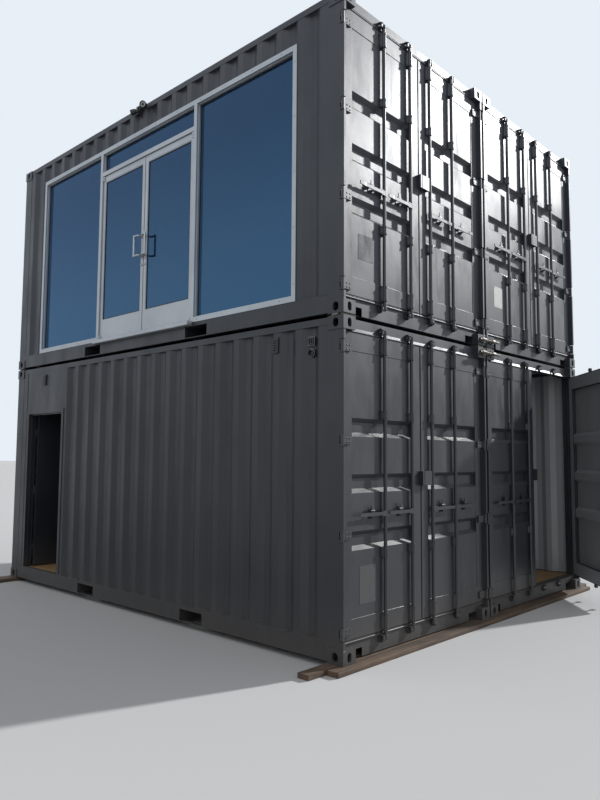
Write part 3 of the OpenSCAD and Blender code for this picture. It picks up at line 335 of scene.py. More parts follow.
@dataclass(frozen=True)
class PaintFinish:
    """Sprayed charcoal paint over rolled steel, darker towards the ground by painted shade and lighter
    higher up by a painted sky reflection, dusty near the ground, and light grey in the rooms.
    """

    name: str = "sprayed_paint"
    # A painted shade: the paint's darker colour towards the ground.
    low_painted_shade: Colour = srgb(32, 35, 41)
    # The paint's colour higher up, whose lighter, bluer tone is a painted sky reflection.
    colour: Colour = srgb(46, 50, 58)
    faded: Colour = srgb(56, 59, 65)
    dust: Colour = srgb(88, 82, 74)
    rust: Colour = srgb(96, 56, 36)
    room: Colour = srgb(148, 152, 154)
    room_centre: float = 1.232
    inside: Inside = Inside.NONE
    roughness: float = 0.42
    # The heights over which the painted shade gives way to the painted sky reflection.
    painted_shade_heights: tuple[float, float] = (2.2, 4.6)
    dust_height: float = 0.9
    waviness: float = 0.0

    def in_room(self, graph: Graph) -> Value:
        """Tells the faces that look into a room, by the mesh's own direction.

        Args:
            graph: The material's tree.

        Returns:
            1 on those faces and 0 elsewhere.
        """
        if self.inside is Inside.SIDE_WALL:
            across = graph.axis(1)
            turned = across.above(0.0) * 2.0 - 1.0
            return ((turned * self.room_centre - across) * graph.own_facing(1)).above(0.0)
        shares = enumerate(self.inside.value)
        parts = [graph.own_facing(index) * share for index, share in shares if share]
        return sum(parts[1:], parts[0]).above(0.4)

    def material(self) -> bpy.types.Material:
        """Builds the material: streaked paint with painted shade low down and a painted sky reflection
        higher up, dust, chips and a room's lining.
        """
        graph = Graph(self.name)
        height = graph.axis(2)
        broad = graph.noise(0.55, 4.0)
        # Painted shade low down and a painted sky reflection higher up: darker towards the ground, and
        # lighter, with more faded patches and streaks, higher up.
        painted_light_share = height.ramp(*self.painted_shade_heights)
        streaks = graph.noise(5.0, 4.0, 0.6, (1.0, 1.0, 0.06)).ramp(0.54, 0.78)
        colour = graph.mix(painted_light_share, self.low_painted_shade, self.colour)
        colour = graph.mix(broad.ramp(0.35, 0.75) * (painted_light_share * 0.3 + 0.25), colour, self.faded)
        colour = graph.mix(streaks * (painted_light_share * 0.1 + 0.3), colour, self.faded)
        low = height.ramp(0.0, self.dust_height, 1.0, 0.0) ** 2.0
        flat = graph.own_facing(2).ramp(0.35, 0.95)
        grit = graph.noise(60.0, 5.0, 0.7).ramp(0.30, 0.72, 0.35, 1.0)
        dusty = (low * 0.6 + flat * 0.4 + 0.04) * grit
        colour = graph.mix(dusty * broad.ramp(0.25, 0.7, 0.6, 1.0), colour, self.dust)
        chips = graph.noise(34.0, 2.0, 0.5).ramp(0.735, 0.75) * graph.noise(2.3, 2.0).ramp(0.58, 0.66)
        colour = graph.mix(chips * 0.8, colour, self.rust)
        if self.inside is not Inside.NONE:
            scuffs = graph.noise(2.2, 6.0, 0.7, (1.0, 1.0, 0.5)).ramp(0.45, 0.85) * 0.22
            scrapes = graph.noise(28.0, 3.0, 0.6, (1.0, 1.0, 0.08)).ramp(0.66, 0.74) * 0.3
            lining = graph.mix(scuffs.larger(scrapes), self.room, self.faded)
            colour = graph.mix(self.in_room(graph), colour, lining)
        cloudy = graph.noise(1.6, 3.0, 0.55, (1.0, 1.0, 0.45)).ramp(0.25, 0.75, -0.10, 0.10)
        mottled = graph.noise(8.0, 5.0, 0.65, (1.0, 1.0, 0.4)).ramp(0.3, 0.7, -0.05, 0.05)
        drips = graph.noise(26.0, 2.0, 0.5, (1.0, 1.0, 0.04)).ramp(0.6, 0.75, 0.0, 0.06)
        bent = graph.bump(graph.noise(420.0, 2.0, 0.5), 0.00025)
        bent = graph.bump(1.0 - chips, 0.0004, bent)
        if self.waviness > 0.0:
            bent = graph.bump(graph.noise(1.7, 1.0, 0.4), self.waviness, bent)
            bent = graph.bump(graph.noise(7.0, 1.0, 0.4), self.waviness * 0.12, bent)
        return graph.finish(
            Base_Color=colour,
            Roughness=cloudy + mottled + drips + (dusty + chips) * 0.3 + self.roughness,
            Normal=bent,
        )


@dataclass(frozen=True)
class SheetFinish(PaintFinish):
    """The same paint on thin sheets, which aren't quite flat."""

    waviness: float = 0.006


@dataclass(frozen=True)
class AluminiumFinish:
    """Clear-anodised extrusions with fine lines along them."""

    name: str = "anodised_aluminium"
    colour: Colour = srgb(176, 180, 184)
    shade: Colour = srgb(154, 159, 165)
    roughness: float = 0.38

    def material(self) -> bpy.types.Material:
        """Builds the material."""
        graph = Graph(self.name)
        lines = graph.noise(300.0, 2.0, 0.5, (1.0, 1.0, 0.02))
        broad = graph.noise(1.3, 3.0)
        smudge = graph.noise(9.0, 4.0, 0.6).ramp(0.45, 0.8)
        return graph.finish(
            Base_Color=graph.mix(broad.ramp(0.3, 0.7) * 0.6, self.colour, self.shade),
            Metallic=0.72,
            Roughness=smudge * 0.14 + self.roughness,
            Normal=graph.bump(lines, 0.00004),
        )


@dataclass(frozen=True)
class GlassFinish:
    """Tinted double glazing, lighter towards its lower edge by a painted reflection, with a blue tint that
    is partly the glass's own and partly a painted sky reflection.
    """

    name: str = "tinted_glass"
    tint: Colour = srgb(50, 82, 116)
    # The lighter colour of a painted reflection towards the lower edge.
    low_painted_reflection: Colour = srgb(70, 112, 146)
    # A painted sky reflection: the blue tint that the reflections get.
    painted_sky_tint: Colour = srgb(160, 200, 240)
    low: float = 3.2
    high: float = 5.4
    roughness: float = 0.02

    def material(self) -> bpy.types.Material:
        """Builds the material."""
        graph = Graph(self.name)
        smears = graph.noise(6.0, 5.0, 0.65).ramp(0.55, 0.85)
        # Painted reflection: the colour grows lighter towards the glass's lower edge.
        dusty = graph.axis(2).ramp(self.low, self.high, 1.0, 0.0)
        return graph.finish(
            Base_Color=graph.mix(dusty, self.tint, self.low_painted_reflection),
            Metallic=0.5,
            Roughness=smears * 0.05 + self.roughness,
            Transmission_Weight=0.88,
            IOR=1.5,
            Specular_IOR_Level=0.4,
            # Painted sky reflection: the reflections are tinted blue.
            Specular_Tint=self.painted_sky_tint,
            Normal=graph.bump(graph.noise(0.9, 1.0, 0.4), 0.0018),
        )


@dataclass(frozen=True)
class WoodFinish:
    """Timber with its grain along one axis, rings, and patches of dirt."""

    name: str
    pale: Colour
    dark: Colour
    dirt: Colour
    grain_axis: int = 1
    roughness: float = 0.72
    relief: float = 0.0012

    def material(self) -> bpy.types.Material:
        """Builds the material."""
        graph = Graph(self.name)
        stretch = [1.0, 1.0, 1.0]
        stretch[self.grain_axis] = 0.05
        grain = graph.noise(85.0, 5.0, 0.62, stretch, 0.4)
        rings = graph.noise(11.0, 3.0, 0.5, stretch, 1.4)
        patches = graph.noise(1.8, 4.0, 0.6)
        share = grain.ramp(0.32, 0.7) * 0.6 + rings.ramp(0.35, 0.65) * 0.4
        colour = graph.mix(share, self.dark, self.pale)
        return graph.finish(
            Base_Color=graph.mix(patches.ramp(0.45, 0.75) * 0.55, colour, self.dirt),
            Roughness=patches * 0.12 + self.roughness,
            Normal=graph.bump(grain, self.relief),
        )


@dataclass(frozen=True)
class ZincFinish:
    """Hot-dip galvanising, with its spangle dulled by weather."""

    name: str = "weathered_zinc"
    colour: Colour = srgb(128, 124, 118)
    dull: Colour = srgb(88, 82, 75)

    def material(self) -> bpy.types.Material:
        """Builds the material."""
        graph = Graph(self.name)
        broad = graph.noise(14.0, 4.0, 0.6)
        share = graph.cells(90.0) * 0.5 + broad.ramp(0.35, 0.7) * 0.5
        return graph.finish(
            Base_Color=graph.mix(share, self.colour, self.dull),
            Metallic=0.7,
            Roughness=broad.ramp(0.2, 0.8, 0.42, 0.64),
            Normal=graph.bump(graph.noise(120.0, 3.0), 0.0002),
        )


@dataclass(frozen=True)
class MouldedFinish:
    """A moulded plastic, a rubber or an enamelled plate of one colour, with a fine grain."""

    name: str
    colour: Colour
    worn: Colour
    roughness: float = 0.5
    grain: float = 260.0

    def material(self) -> bpy.types.Material:
        """Builds the material."""
        graph = Graph(self.name)
        broad = graph.noise(16.0, 4.0, 0.6)
        return graph.finish(
            Base_Color=graph.mix(broad.ramp(0.4, 0.75) * 0.6, self.colour, self.worn),
            Roughness=broad.ramp(0.2, 0.8, self.roughness - 0.08, self.roughness + 0.1),
            Normal=graph.bump(graph.noise(self.grain, 2.0), 0.0002),
        )


class Finish(Enum):
    """The finishes of the cabin's pieces."""

    PAINT = PaintFinish()
    SIDE_WALL = SheetFinish("side_wall_sheet", inside=Inside.SIDE_WALL)
    END_WALL = SheetFinish("end_wall_sheet", inside=Inside.END_WALL)
    ROOF = SheetFinish("roof_sheet", inside=Inside.ROOF)
    LEAF = SheetFinish("leaf_sheet", inside=Inside.LEAF)
    OPEN_LEAF = SheetFinish("open_leaf_sheet", inside=Inside.OPEN_LEAF)
    # Its first colour is a painted shade low down, and its second its colour higher up with a painted sky
    # reflection.
    COATED = PaintFinish(
        "coated_plate", srgb(62, 63, 65), srgb(66, 67, 69), srgb(88, 88, 88), roughness=0.3
    )
    ALUMINIUM = AluminiumFinish()
    GLASS = GlassFinish()
    PLYWOOD = WoodFinish(
        "floor_plywood", srgb(168, 136, 96), srgb(124, 94, 62), srgb(92, 80, 66), 0, 0.6, 0.0005
    )
    TIMBER = WoodFinish("weathered_timber", srgb(104, 84, 66), srgb(54, 43, 35), srgb(44, 40, 36))
    ZINC = ZincFinish()
    HOUSING = MouldedFinish("camera_housing", srgb(30, 32, 35), srgb(52, 54, 57), 0.38)
    RUBBER = MouldedFinish("seal_rubber", srgb(22, 22, 23), srgb(44, 43, 41), 0.62)
    LENS = MouldedFinish("lens", srgb(8, 10, 16), srgb(14, 16, 24), 0.12, 20.0)
    LAMP = MouldedFinish("lamp_face", srgb(150, 152, 150), srgb(176, 178, 174), 0.35, 90.0)
    RIM = MouldedFinish("inlet_rim", srgb(104, 107, 110), srgb(132, 134, 134), 0.45, 90.0)
    PLATE = MouldedFinish("data_plate", srgb(178, 179, 176), srgb(140, 138, 132), 0.42, 60.0)

    @property
    def material(self) -> bpy.types.Material:
        """The finish's material, built when it is first asked for."""
        return made(self)

    @property
    def slot(self) -> str | None:
        """The record's material slot that the finish belongs to, if it has one."""
        return SLOTS.get(self)


SLOTS = {
    **{finish: "charcoal_paint" for finish in Finish if isinstance(finish.value, SheetFinish)},
    Finish.PAINT: "charcoal_paint",
    Finish.ALUMINIUM: "clear_aluminium",
    Finish.GLASS: "glazing",
    Finish.PLYWOOD: "plywood",
    Finish.TIMBER: "rough_timber",
    Finish.ZINC: "galvanised",
    Finish.HOUSING: "black_housing",
}


@cache
def made(finish: Finish) -> bpy.types.Material:
    """Builds the material of a finish, once."""
    return finish.value.material()


@dataclass
class Mesh:
    """Points and faces gathered for one piece, as whole arrays."""

    name: str
    points: list[np.ndarray] = field(default_factory=list)
    faces: list[np.ndarray] = field(default_factory=list)
    count: int = 0

    def add(self, points: np.ndarray, faces: Iterable[np.ndarray]) -> None:
        """Adds points, and blocks of faces that number them from 0.

        Args:
            points: The points, in an array of any shape whose last side is three.
            faces: Blocks of faces, each of one number of corners.
        """
        self.faces += [block + self.count for block in faces]
        self.points.append(points.reshape(-1, 3))
        self.count += len(self.points[-1])

    def include(self, other: Mesh) -> None:
        """Adds all of another mesh."""
        self.add(np.concatenate(other.points), other.faces)

    def add_grid(self, grid: np.ndarray, closed: bool = False) -> None:
        """Adds the surface over a grid of points.

        Args:
            grid: Points, by row along the piece and column round its closed outline.
            closed: Whether the last row joins the first. If not, the two end outlines are filled.
        """
        rows, columns = grid.shape[:2]
        size = rows * columns
        ring = np.arange(columns)
        starts = np.arange(rows if closed else rows - 1)[:, None] * columns
        here = (starts + ring).ravel()
        beside = (starts + (ring + 1) % columns).ravel()
        blocks = [np.stack([here, beside, (beside + columns) % size, (here + columns) % size], axis=1)]
        if not closed:
            blocks += [ring[::-1][None, :], (ring + size - columns)[None, :]]
        self.add(grid, blocks)

    def add_frame(
        self, outline: np.ndarray, low: Sequence[float], high: Sequence[float], axis: int
    ) -> None:
        """Adds an outline carried round an upright rectangle, with its first coordinate inwards.

        Args:
            outline: Points of the closed outline, two numbers each.
            low: The rectangle's lower corner, whose coordinate along axis is its plane.
            high: Its upper corner.
            axis: The number of the axis that it is square to.
        """
        first, second = (axis + 1) % 3, (axis + 2) % 3
        corners = np.tile(np.asarray(low, float), (4, 1))
        corners[[1, 2], first] = high[first]
        corners[[2, 3], second] = high[second]
        self.add_grid(carry(outline, corners, np.eye(3)[axis], True), True)

    def add_bead(self, path: np.ndarray, side: np.ndarray) -> None:
        """Adds a weld bead, whose radius swells by a tenth with sin(40 s) sin(97 s) over the length s.

        Args:
            path: The points that it runs through.
            side: The unit direction that is square to the whole path.
        """
        path = divided(path, BEAD_STEP)
        grid = carry(round_outline(BEAD_RADIUS, 6), path, side, False)
        length = distances(path)
        swell = 1 + 0.1 * np.sin(40 * length) * np.sin(97 * length)
        self.add_grid(path[:, None] + (grid - path[:, None]) * swell[:, None, None])

    def stamp(self, shape: Shape, spots: Spots, direction: Sequence[float]) -> None:
        """Adds a copy of a small shape at each spot.

        Args:
            shape: The small shape's points, and its faces as blocks of one length each.
            spots: Where the copies stand.
            direction: Where the small shape's Z turns to.
        """
        points, faces = shape
        turn = np.array(Vector(direction).to_track_quat("Z", "Y").to_matrix())
        copies = (points @ turn.T)[None] + np.asarray(spots, float)[:, None]
        offsets = (np.arange(len(spots)) * len(points))[:, None, None]
        self.add(copies, [(block[None] + offsets).reshape(-1, block.shape[1]) for block in faces])

    def moved(self, place: np.ndarray) -> Mesh:
        """Moves every point by a matrix of four by four."""
        self.points = [block @ place[:3, :3].T + place[:3, 3] for block in self.points]
        return self

    def build(
        self, finish: Finish, body: str = "cabin", smooth: float | None = None
    ) -> bpy.types.Object:
        """Makes the object, gives it its finish and lets it ride on a body.

        Args:
            finish: The finish of the whole piece.
            body: The CAD body that it moves with.
            smooth: The angle in degrees under which edges are shaded smooth, or None for flat.

        Returns:
            The new object.
        """
        data = bpy.data.meshes.new(self.name)
        faces = [face for block in self.faces for face in block.tolist()]
        data.from_pydata(np.concatenate(self.points), [], faces)
        solid = bmesh.new()
        solid.from_mesh(data)
        bmesh.ops.recalc_face_normals(solid, faces=solid.faces[:])
        solid.to_mesh(data)
        solid.free()
        if smooth is not None:
            data.polygons.foreach_set("use_smooth", np.ones(len(data.polygons), bool))
            data.set_sharp_from_angle(angle=math.radians(smooth))
        data.materials.append(finish.material)
        piece = bpy.data.objects.new(self.name, data)
        bpy.context.scene.collection.objects.link(piece)
        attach(piece, body)
        LOG.info("%s: %d faces on %s", self.name, len(data.polygons), body)
        return piece


def carry(outline: np.ndarray, path: np.ndarray, side: np.ndarray, closed: bool) -> np.ndarray:
    """Carries a flat outline along a path, mitred at its corners.

    The outline's first coordinate runs along side cross the path's direction, scaled by
    1 / cos(half the turn) at a corner, and its second along side.

    Args:
        outline: Points of the closed outline, two numbers each.
        path: Points of the path, three numbers each, in a plane square to side.
        side: The unit direction that stays the same along the path.
        closed: Whether the path's last point joins its first.

    Returns:
        A grid of points, by path point and outline point.
    """
    ahead = np.roll(path, -1, axis=0) - path
    behind = path - np.roll(path, 1, axis=0)
    if not closed:
        ahead[-1] = behind[-1]
        behind[0] = ahead[0]
    ahead /= np.linalg.norm(ahead, axis=1, keepdims=True)
    behind /= np.linalg.norm(behind, axis=1, keepdims=True)
    middle = ahead + behind
    middle /= np.linalg.norm(middle, axis=1, keepdims=True)
    across = np.cross(side, middle)
    across /= np.maximum(np.sum(middle * ahead, axis=1, keepdims=True), SHARPEST_MITRE)
    return path[:, None] + outline[None, :, :1] * across[:, None] + outline[None, :, 1:] * side


def distances(path: np.ndarray) -> np.ndarray:
    """Gives how far along a path each of its points lies."""
    return np.concatenate([[0.0], np.cumsum(np.linalg.norm(np.diff(path, axis=0), axis=1))])


def divided(path: np.ndarray, step: float) -> np.ndarray:
    """Adds points along a path.

    Args:
        path: The path's own points, three numbers each.
        step: The longest distance that is left between two points.

    Returns:
        All points, with the path's own among them.
    """
    along = distances(path)
    spots = [
        np.linspace(start, end, max(2, math.ceil((end - start) / step) + 1))[:-1]
        for start, end in zip(along, along[1:])
    ]
    spots = np.concatenate([*spots, along[-1:]])
    return np.stack([np.interp(spots, along, path[:, index]) for index in range(3)], axis=1)


def round_outline(radius: float, count: int) -> np.ndarray:
    """Gives the points of a circle: radius times (cos a, sin a) for equal steps of a."""
    angle = np.linspace(0, 2 * np.pi, count, endpoint=False)
    return np.stack([radius * np.cos(angle), radius * np.sin(angle)], axis=1)


def rounded_box_outline(width: float, height: float, radius: float, steps: int = 3) -> np.ndarray:
    """Gives a rectangle's outline with quarter circles at its corners.

    Args:
        width: The rectangle's first side.
        height: Its second side.
        radius: The radius of its corners.
        steps: How many points each corner has.

    Returns:
        The points, two numbers each, with the rectangle's middle at 0.
    """
    centres = np.array([[1, 1], [-1, 1], [-1, -1], [1, -1]]) * (np.array([width, height]) / 2 - radius)
    turn = np.arange(4)[:, None] * np.pi / 2 + np.linspace(0, np.pi / 2, steps)[None]
    arc = np.stack([np.cos(turn), np.sin(turn)], axis=2) * radius
    return (centres[:, None] + arc).reshape(-1, 2)


def soft_outline(width: float, depth: float) -> np.ndarray:
    """Gives the outline of a rubber or brush strip, rounded by three tenths of its smaller side."""
    return rounded_box_outline(width, depth, min(width, depth) * 0.3)


def spun(profile: Spots, count: int) -> Shape:
    """Turns a profile round Z, closed at both ends by flat faces.

    Args:
        profile: Points of (radius, height), from the lower end to the upper one.
        count: How many steps make the turn.

    Returns:
        The points and the blocks of faces.
    """
    profile = np.asarray(profile, float)
    flat = profile[:, None, :1] * round_outline(1.0, count)[None]
    tall = np.broadcast_to(profile[:, None, 1:], (len(profile), count, 1))
    gathered = Mesh("spun")
    gathered.add_grid(np.concatenate([flat, tall], axis=2))
    return gathered.points[0], gathered.faces


def hex_bolt(across: float, height: float) -> Shape:
    """Gives a chamfered six-sided bolt head on a washer, standing on the plane of X and Y.

    Args:
        across: The head's width over its flats.
        height: The height of head and washer.

    Returns:
        The points and the blocks of faces.
    """
    radius = across / 2 / math.cos(math.pi / 6)
    rim, washer = radius * 1.2, height * 0.15
    head = [(radius, washer), (radius, height * 0.85), (radius * 0.86, height)]
    return spun([(rim, 0.0), (rim, washer), *head], 6)


def dome_rivet(radius: float, height: float) -> Shape:
    """Gives a low domed rivet head: the height follows cos(a) as the radius follows sin(a)."""
    angle = np.linspace(np.pi / 2, 0.25, 4)
    return spun(np.stack([radius * np.sin(angle), height * np.cos(angle)], axis=1), 8)


def stamped(name: str, shape: Shape, spots: Spots, direction: Sequence[float]) -> Mesh:
    """Draws a piece that is a small shape at each spot.

    Args:
        name: The piece's name.
        shape: The small shape's points and blocks of faces.
        spots: Where the copies stand.
        direction: Where the small shape's Z turns to.

    Returns:
        The piece.
    """
    piece = Mesh(name)
    piece.stamp(shape, spots, direction)
    return piece


@dataclass
class Layout:
    """Where the four containers stand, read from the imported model."""

    side_gap: float = 0.026
    length: float = field(init=False)
    width: float = field(init=False)
    height: float = field(init=False)
    centre_x: float = field(init=False)
    row_y: tuple[float, float] = field(init=False)
    base_z: tuple[float, float] = field(init=False)

    def __post_init__(self) -> None:
        """Measures the posts of both storeys."""
        low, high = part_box("lower_posts")
        upper_low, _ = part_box("upper_posts")
        self.length = high.x - low.x
        self.width = (high.y - low.y - self.side_gap) / 2
        self.height = high.z - low.z
        self.centre_x = (high.x + low.x) / 2
        middle = (self.width + self.side_gap) / 2
        self.row_y = (-middle, middle)
        self.base_z = (low.z, upper_low.z)

    def origin(self, level: int, row: int) -> np.ndarray:
        """Gives the middle of a container's underside."""
        return np.array([self.centre_x, self.row_y[row], self.base_z[level]])

    def place(self, level: int, row: int, side: int) -> np.ndarray:
        """Gives the matrix from a container's own drawing, mirrored for the side at +Y.

        Args:
            level: 0 for the ground floor, 1 for the upper one.
            row: 0 for the front container, 1 for the rear one.
            side: The sign of Y on which the drawing's -Y side comes to lie.

        Returns:
            The matrix of four by four.
        """
        place = np.diag([1.0, -float(side), 1.0, 1.0])
        place[:3, 3] = self.origin(level, row)
        return place


class Side(Enum):
    """A cargo leaf's side as seen from outside, with the sign of its hinge's Y."""

    LEFT = -1
    RIGHT = 1


@dataclass
class CargoLeaf:
    """The seal, beads and fasteners of one cargo leaf, drawn closed on its container's -Y side."""

    layout: Layout
    level: int
    row: int
    side: Side
    pin_inset: float = 0.024
    pin_side: float = 0.016
    face_set: float = 0.050
    thickness: float = 0.050
    edge_inset: float = 0.062
    seam_half: float = 0.012
    foot: float = 0.182
    top: float = 2.763
    stile: float = 0.110
    top_member: float = 0.154
    bottom_member: float = 0.158
    panel_set: float = 0.004
    channels: tuple[float, ...] = (0.985, 1.467, 1.949)
    channel_half: float = 0.080
    channel_depth: float = 0.036
    rods: tuple[float, float] = (0.600, 0.173)
    long_guides: tuple[float, float] = (0.262, 2.683)
    short_guides: tuple[float, float] = (0.855, 2.069)
    guide_heights: tuple[float, float] = (0.140, 0.080)
    handle: float = 1.200
    hinges: tuple[float, ...] = (0.250, 1.0433, 1.8367, 2.630)

    @property
    def spot(self) -> str:
        """Which of a storey's four leaves it is."""
        return f"{ROWS[self.row]}_{self.side.name.lower()}"

    @property
    def label(self) -> str:
        """A name for the leaf's pieces."""
        return f"{LEVELS[self.level]}_{self.spot}"

    @property
    def body(self) -> str:
        """The body that the leaf's pieces ride on, since only the lower leaves move."""
        return "cabin" if self.level else f"{self.spot}_leaf"

    @property
    def place(self) -> np.ndarray:
        """The matrix from the closed leaf's drawing to the row frame."""
        sign = self.side.value
        mirror = np.diag([1.0, -float(sign), 1.0, 1.0])
        origin = Matrix.Translation(self.layout.origin(self.level, self.row))
        hinge = Vector((self.x(self.pin_inset), sign * (self.layout.width / 2 - self.pin_side), 0.0))
        angle = OPEN_ANGLE if self.body == "rear_right_leaf" else 0.0
        turn = Matrix.Rotation(math.radians(sign * angle), 4, "Z")
        swing = Matrix.Translation(hinge) @ turn @ Matrix.Translation(-hinge)
        return np.array(origin) @ np.array(swing) @ mirror

    @property
    def edge(self) -> float:
        """The place of the leaf's hinge edge along Y."""
        return self.edge_inset - self.layout.width / 2

    def x(self, inset: float) -> float:
        """Gives the place along X that lies so far in from the castings' end."""
        return self.layout.length / 2 - inset

    def build(self) -> None:
        """Makes the leaf's pieces."""
        self.seal().moved(self.place).build(Finish.RUBBER, self.body, 40.0)
        self.beads().moved(self.place).build(Finish.PAINT, self.body, 60.0)
        self.bolts().moved(self.place).build(Finish.PAINT, self.body, 30.0)

    def seal(self) -> Mesh:
        """Draws the rubber round the leaf's edge: a base, a ridge and a lip at the front and back."""
        seam_shift, rise = 0.0035, 0.004
        low = [self.x(self.face_set + self.thickness / 2), self.edge, self.foot - rise]
        high = [low[0], seam_shift - self.seam_half, self.top + rise]
        half_mm = [(6, -20), (-2, -20), (-7, -22), (-7.5, -19), (-3, -15), (-3, -4), (-6, 0)]
        outline = np.array(half_mm + [(a, -b) for a, b in reversed(half_mm[:-1])]) / 1000
        seal = Mesh(f"seal_{self.label}")
        seal.add_frame(outline, low, high, 0)
        return seal

    def beads(self) -> Mesh:
        """Draws the weld beads along the joint of the pressed panel with the leaf's members."""
        x = self.x(self.face_set + self.panel_set)
        left, right = self.edge + self.stile, -self.seam_half - self.stile
        low, high = self.foot + self.bottom_member, self.top - self.top_member
        half, depth = self.channel_half, self.channel_depth
        rows = [(low, 0.0)]
        for middle in self.channels:
            rows += [(middle - half, 0.0), (middle - half + depth, depth)]
            rows += [(middle + half - depth, depth), (middle + half, 0.0)]
        rows.append((high, 0.0))
        beads = Mesh(f"panel_bead_{self.label}")
        for y in (left, right):
            beads.add_bead(np.array([(x - back, y, z) for z, back in rows]), ACROSS)
        for z in (low, high):
            beads.add_bead(np.array([(x, left, z), (x, right, z)]), UP)
        return beads

    def bolts(self) -> Mesh:
        """Draws the bolts of the guides and the handle retainers, and the rivets of the hinge blades."""
        guide_face, retainer_face, blade_face = self.x(0.044), self.x(0.049), self.x(0.034)
        reach, edge = 0.041, 0.020
        retainer_away, retainer_lifts = 0.186, (-0.033, 0.044)
        spots = []
        for rod in self.rods:
            for guides, tall in zip((self.long_guides, self.short_guides), self.guide_heights):
                lifts = (edge - tall / 2, tall / 2 - edge)
                for z, away, lift in product(guides, (-reach, reach), lifts):
                    spots.append((guide_face, away - rod, z + lift))
            spots += [(retainer_face, -rod - retainer_away, self.handle + lift) for lift in retainer_lifts]
        rivets = [
            (blade_face, self.edge + along, z + lift)
            for z, along, lift in product(self.hinges, (0.024, 0.064), (-0.018, 0.018))
        ]
        bolts = Mesh(f"bolts_{self.label}")
        bolts.stamp(hex_bolt(0.013, 0.005), spots, ALONG)
        bolts.stamp(dome_rivet(0.008, 0.004), rivets, ALONG)
        return bolts


@dataclass
class WallSheet:
    """The weld beads at the foot and the head of one folded wall."""

    layout: Layout
    label: str
    level: int
    row: int
    side: int
    spans: tuple[tuple[float, float], ...]
    inset: float = 0.010
    pitch: float = 0.278
    outer: float = 0.072
    inner: float = 0.070
    depth: float = 0.036
    foot: float = 0.1745
    head: float = 2.830
    count: int = 20

    @property
    def bends(self) -> np.ndarray:
        """The places of one fold's four bends along X, from the fold's start."""
        slope = (self.pitch - self.outer - self.inner) / 2
        near, far = self.outer / 2, self.pitch - self.outer / 2
        return np.array([near, near + slope, far - slope, far])

    def profile(self, x: np.ndarray) -> np.ndarray:
        """Gives the sheet's depth: 0 on the outer flats, all of it on the inner ones, straight between.

        Args:
            x: Places along X.

        Returns:
            The depth at each place, which is 0 beyond the last fold.
        """
        half = self.count / 2 * self.pitch
        depths = [0, 0, self.depth, self.depth, 0, 0]
        folded = np.interp(np.mod(x + half, self.pitch), [0, *self.bends, self.pitch], depths)
        return np.where(np.abs(x) < half, folded, 0.0)

    def path(self, start: float, end: float, z: float) -> np.ndarray:
        """Gives the line of the sheet's outer face between two places along X.

        Args:
            start: The first place.
            end: The last place.
            z: The line's height.

        Returns:
            The points of the line.
        """
        folds = (np.arange(self.count) - self.count / 2) * self.pitch
        corners = (folds[:, None] + self.bends).ravel()
        x = np.unique(np.concatenate([[start, end], corners[(corners > start) & (corners < end)]]))
        y = self.profile(x) + self.inset - self.layout.width / 2
        return np.stack([x, y, np.full_like(x, z)], axis=1)

    def build(self) -> None:
        """Makes the beads of the wall as one piece."""
        beads = Mesh(f"bead_{self.label}")
        for (start, end), z in product(self.spans, (self.foot, self.head)):
            beads.add_bead(self.path(start, end, z), UP)
        beads.moved(self.layout.place(self.level, self.row, self.side)).build(Finish.PAINT, smooth=60.0)


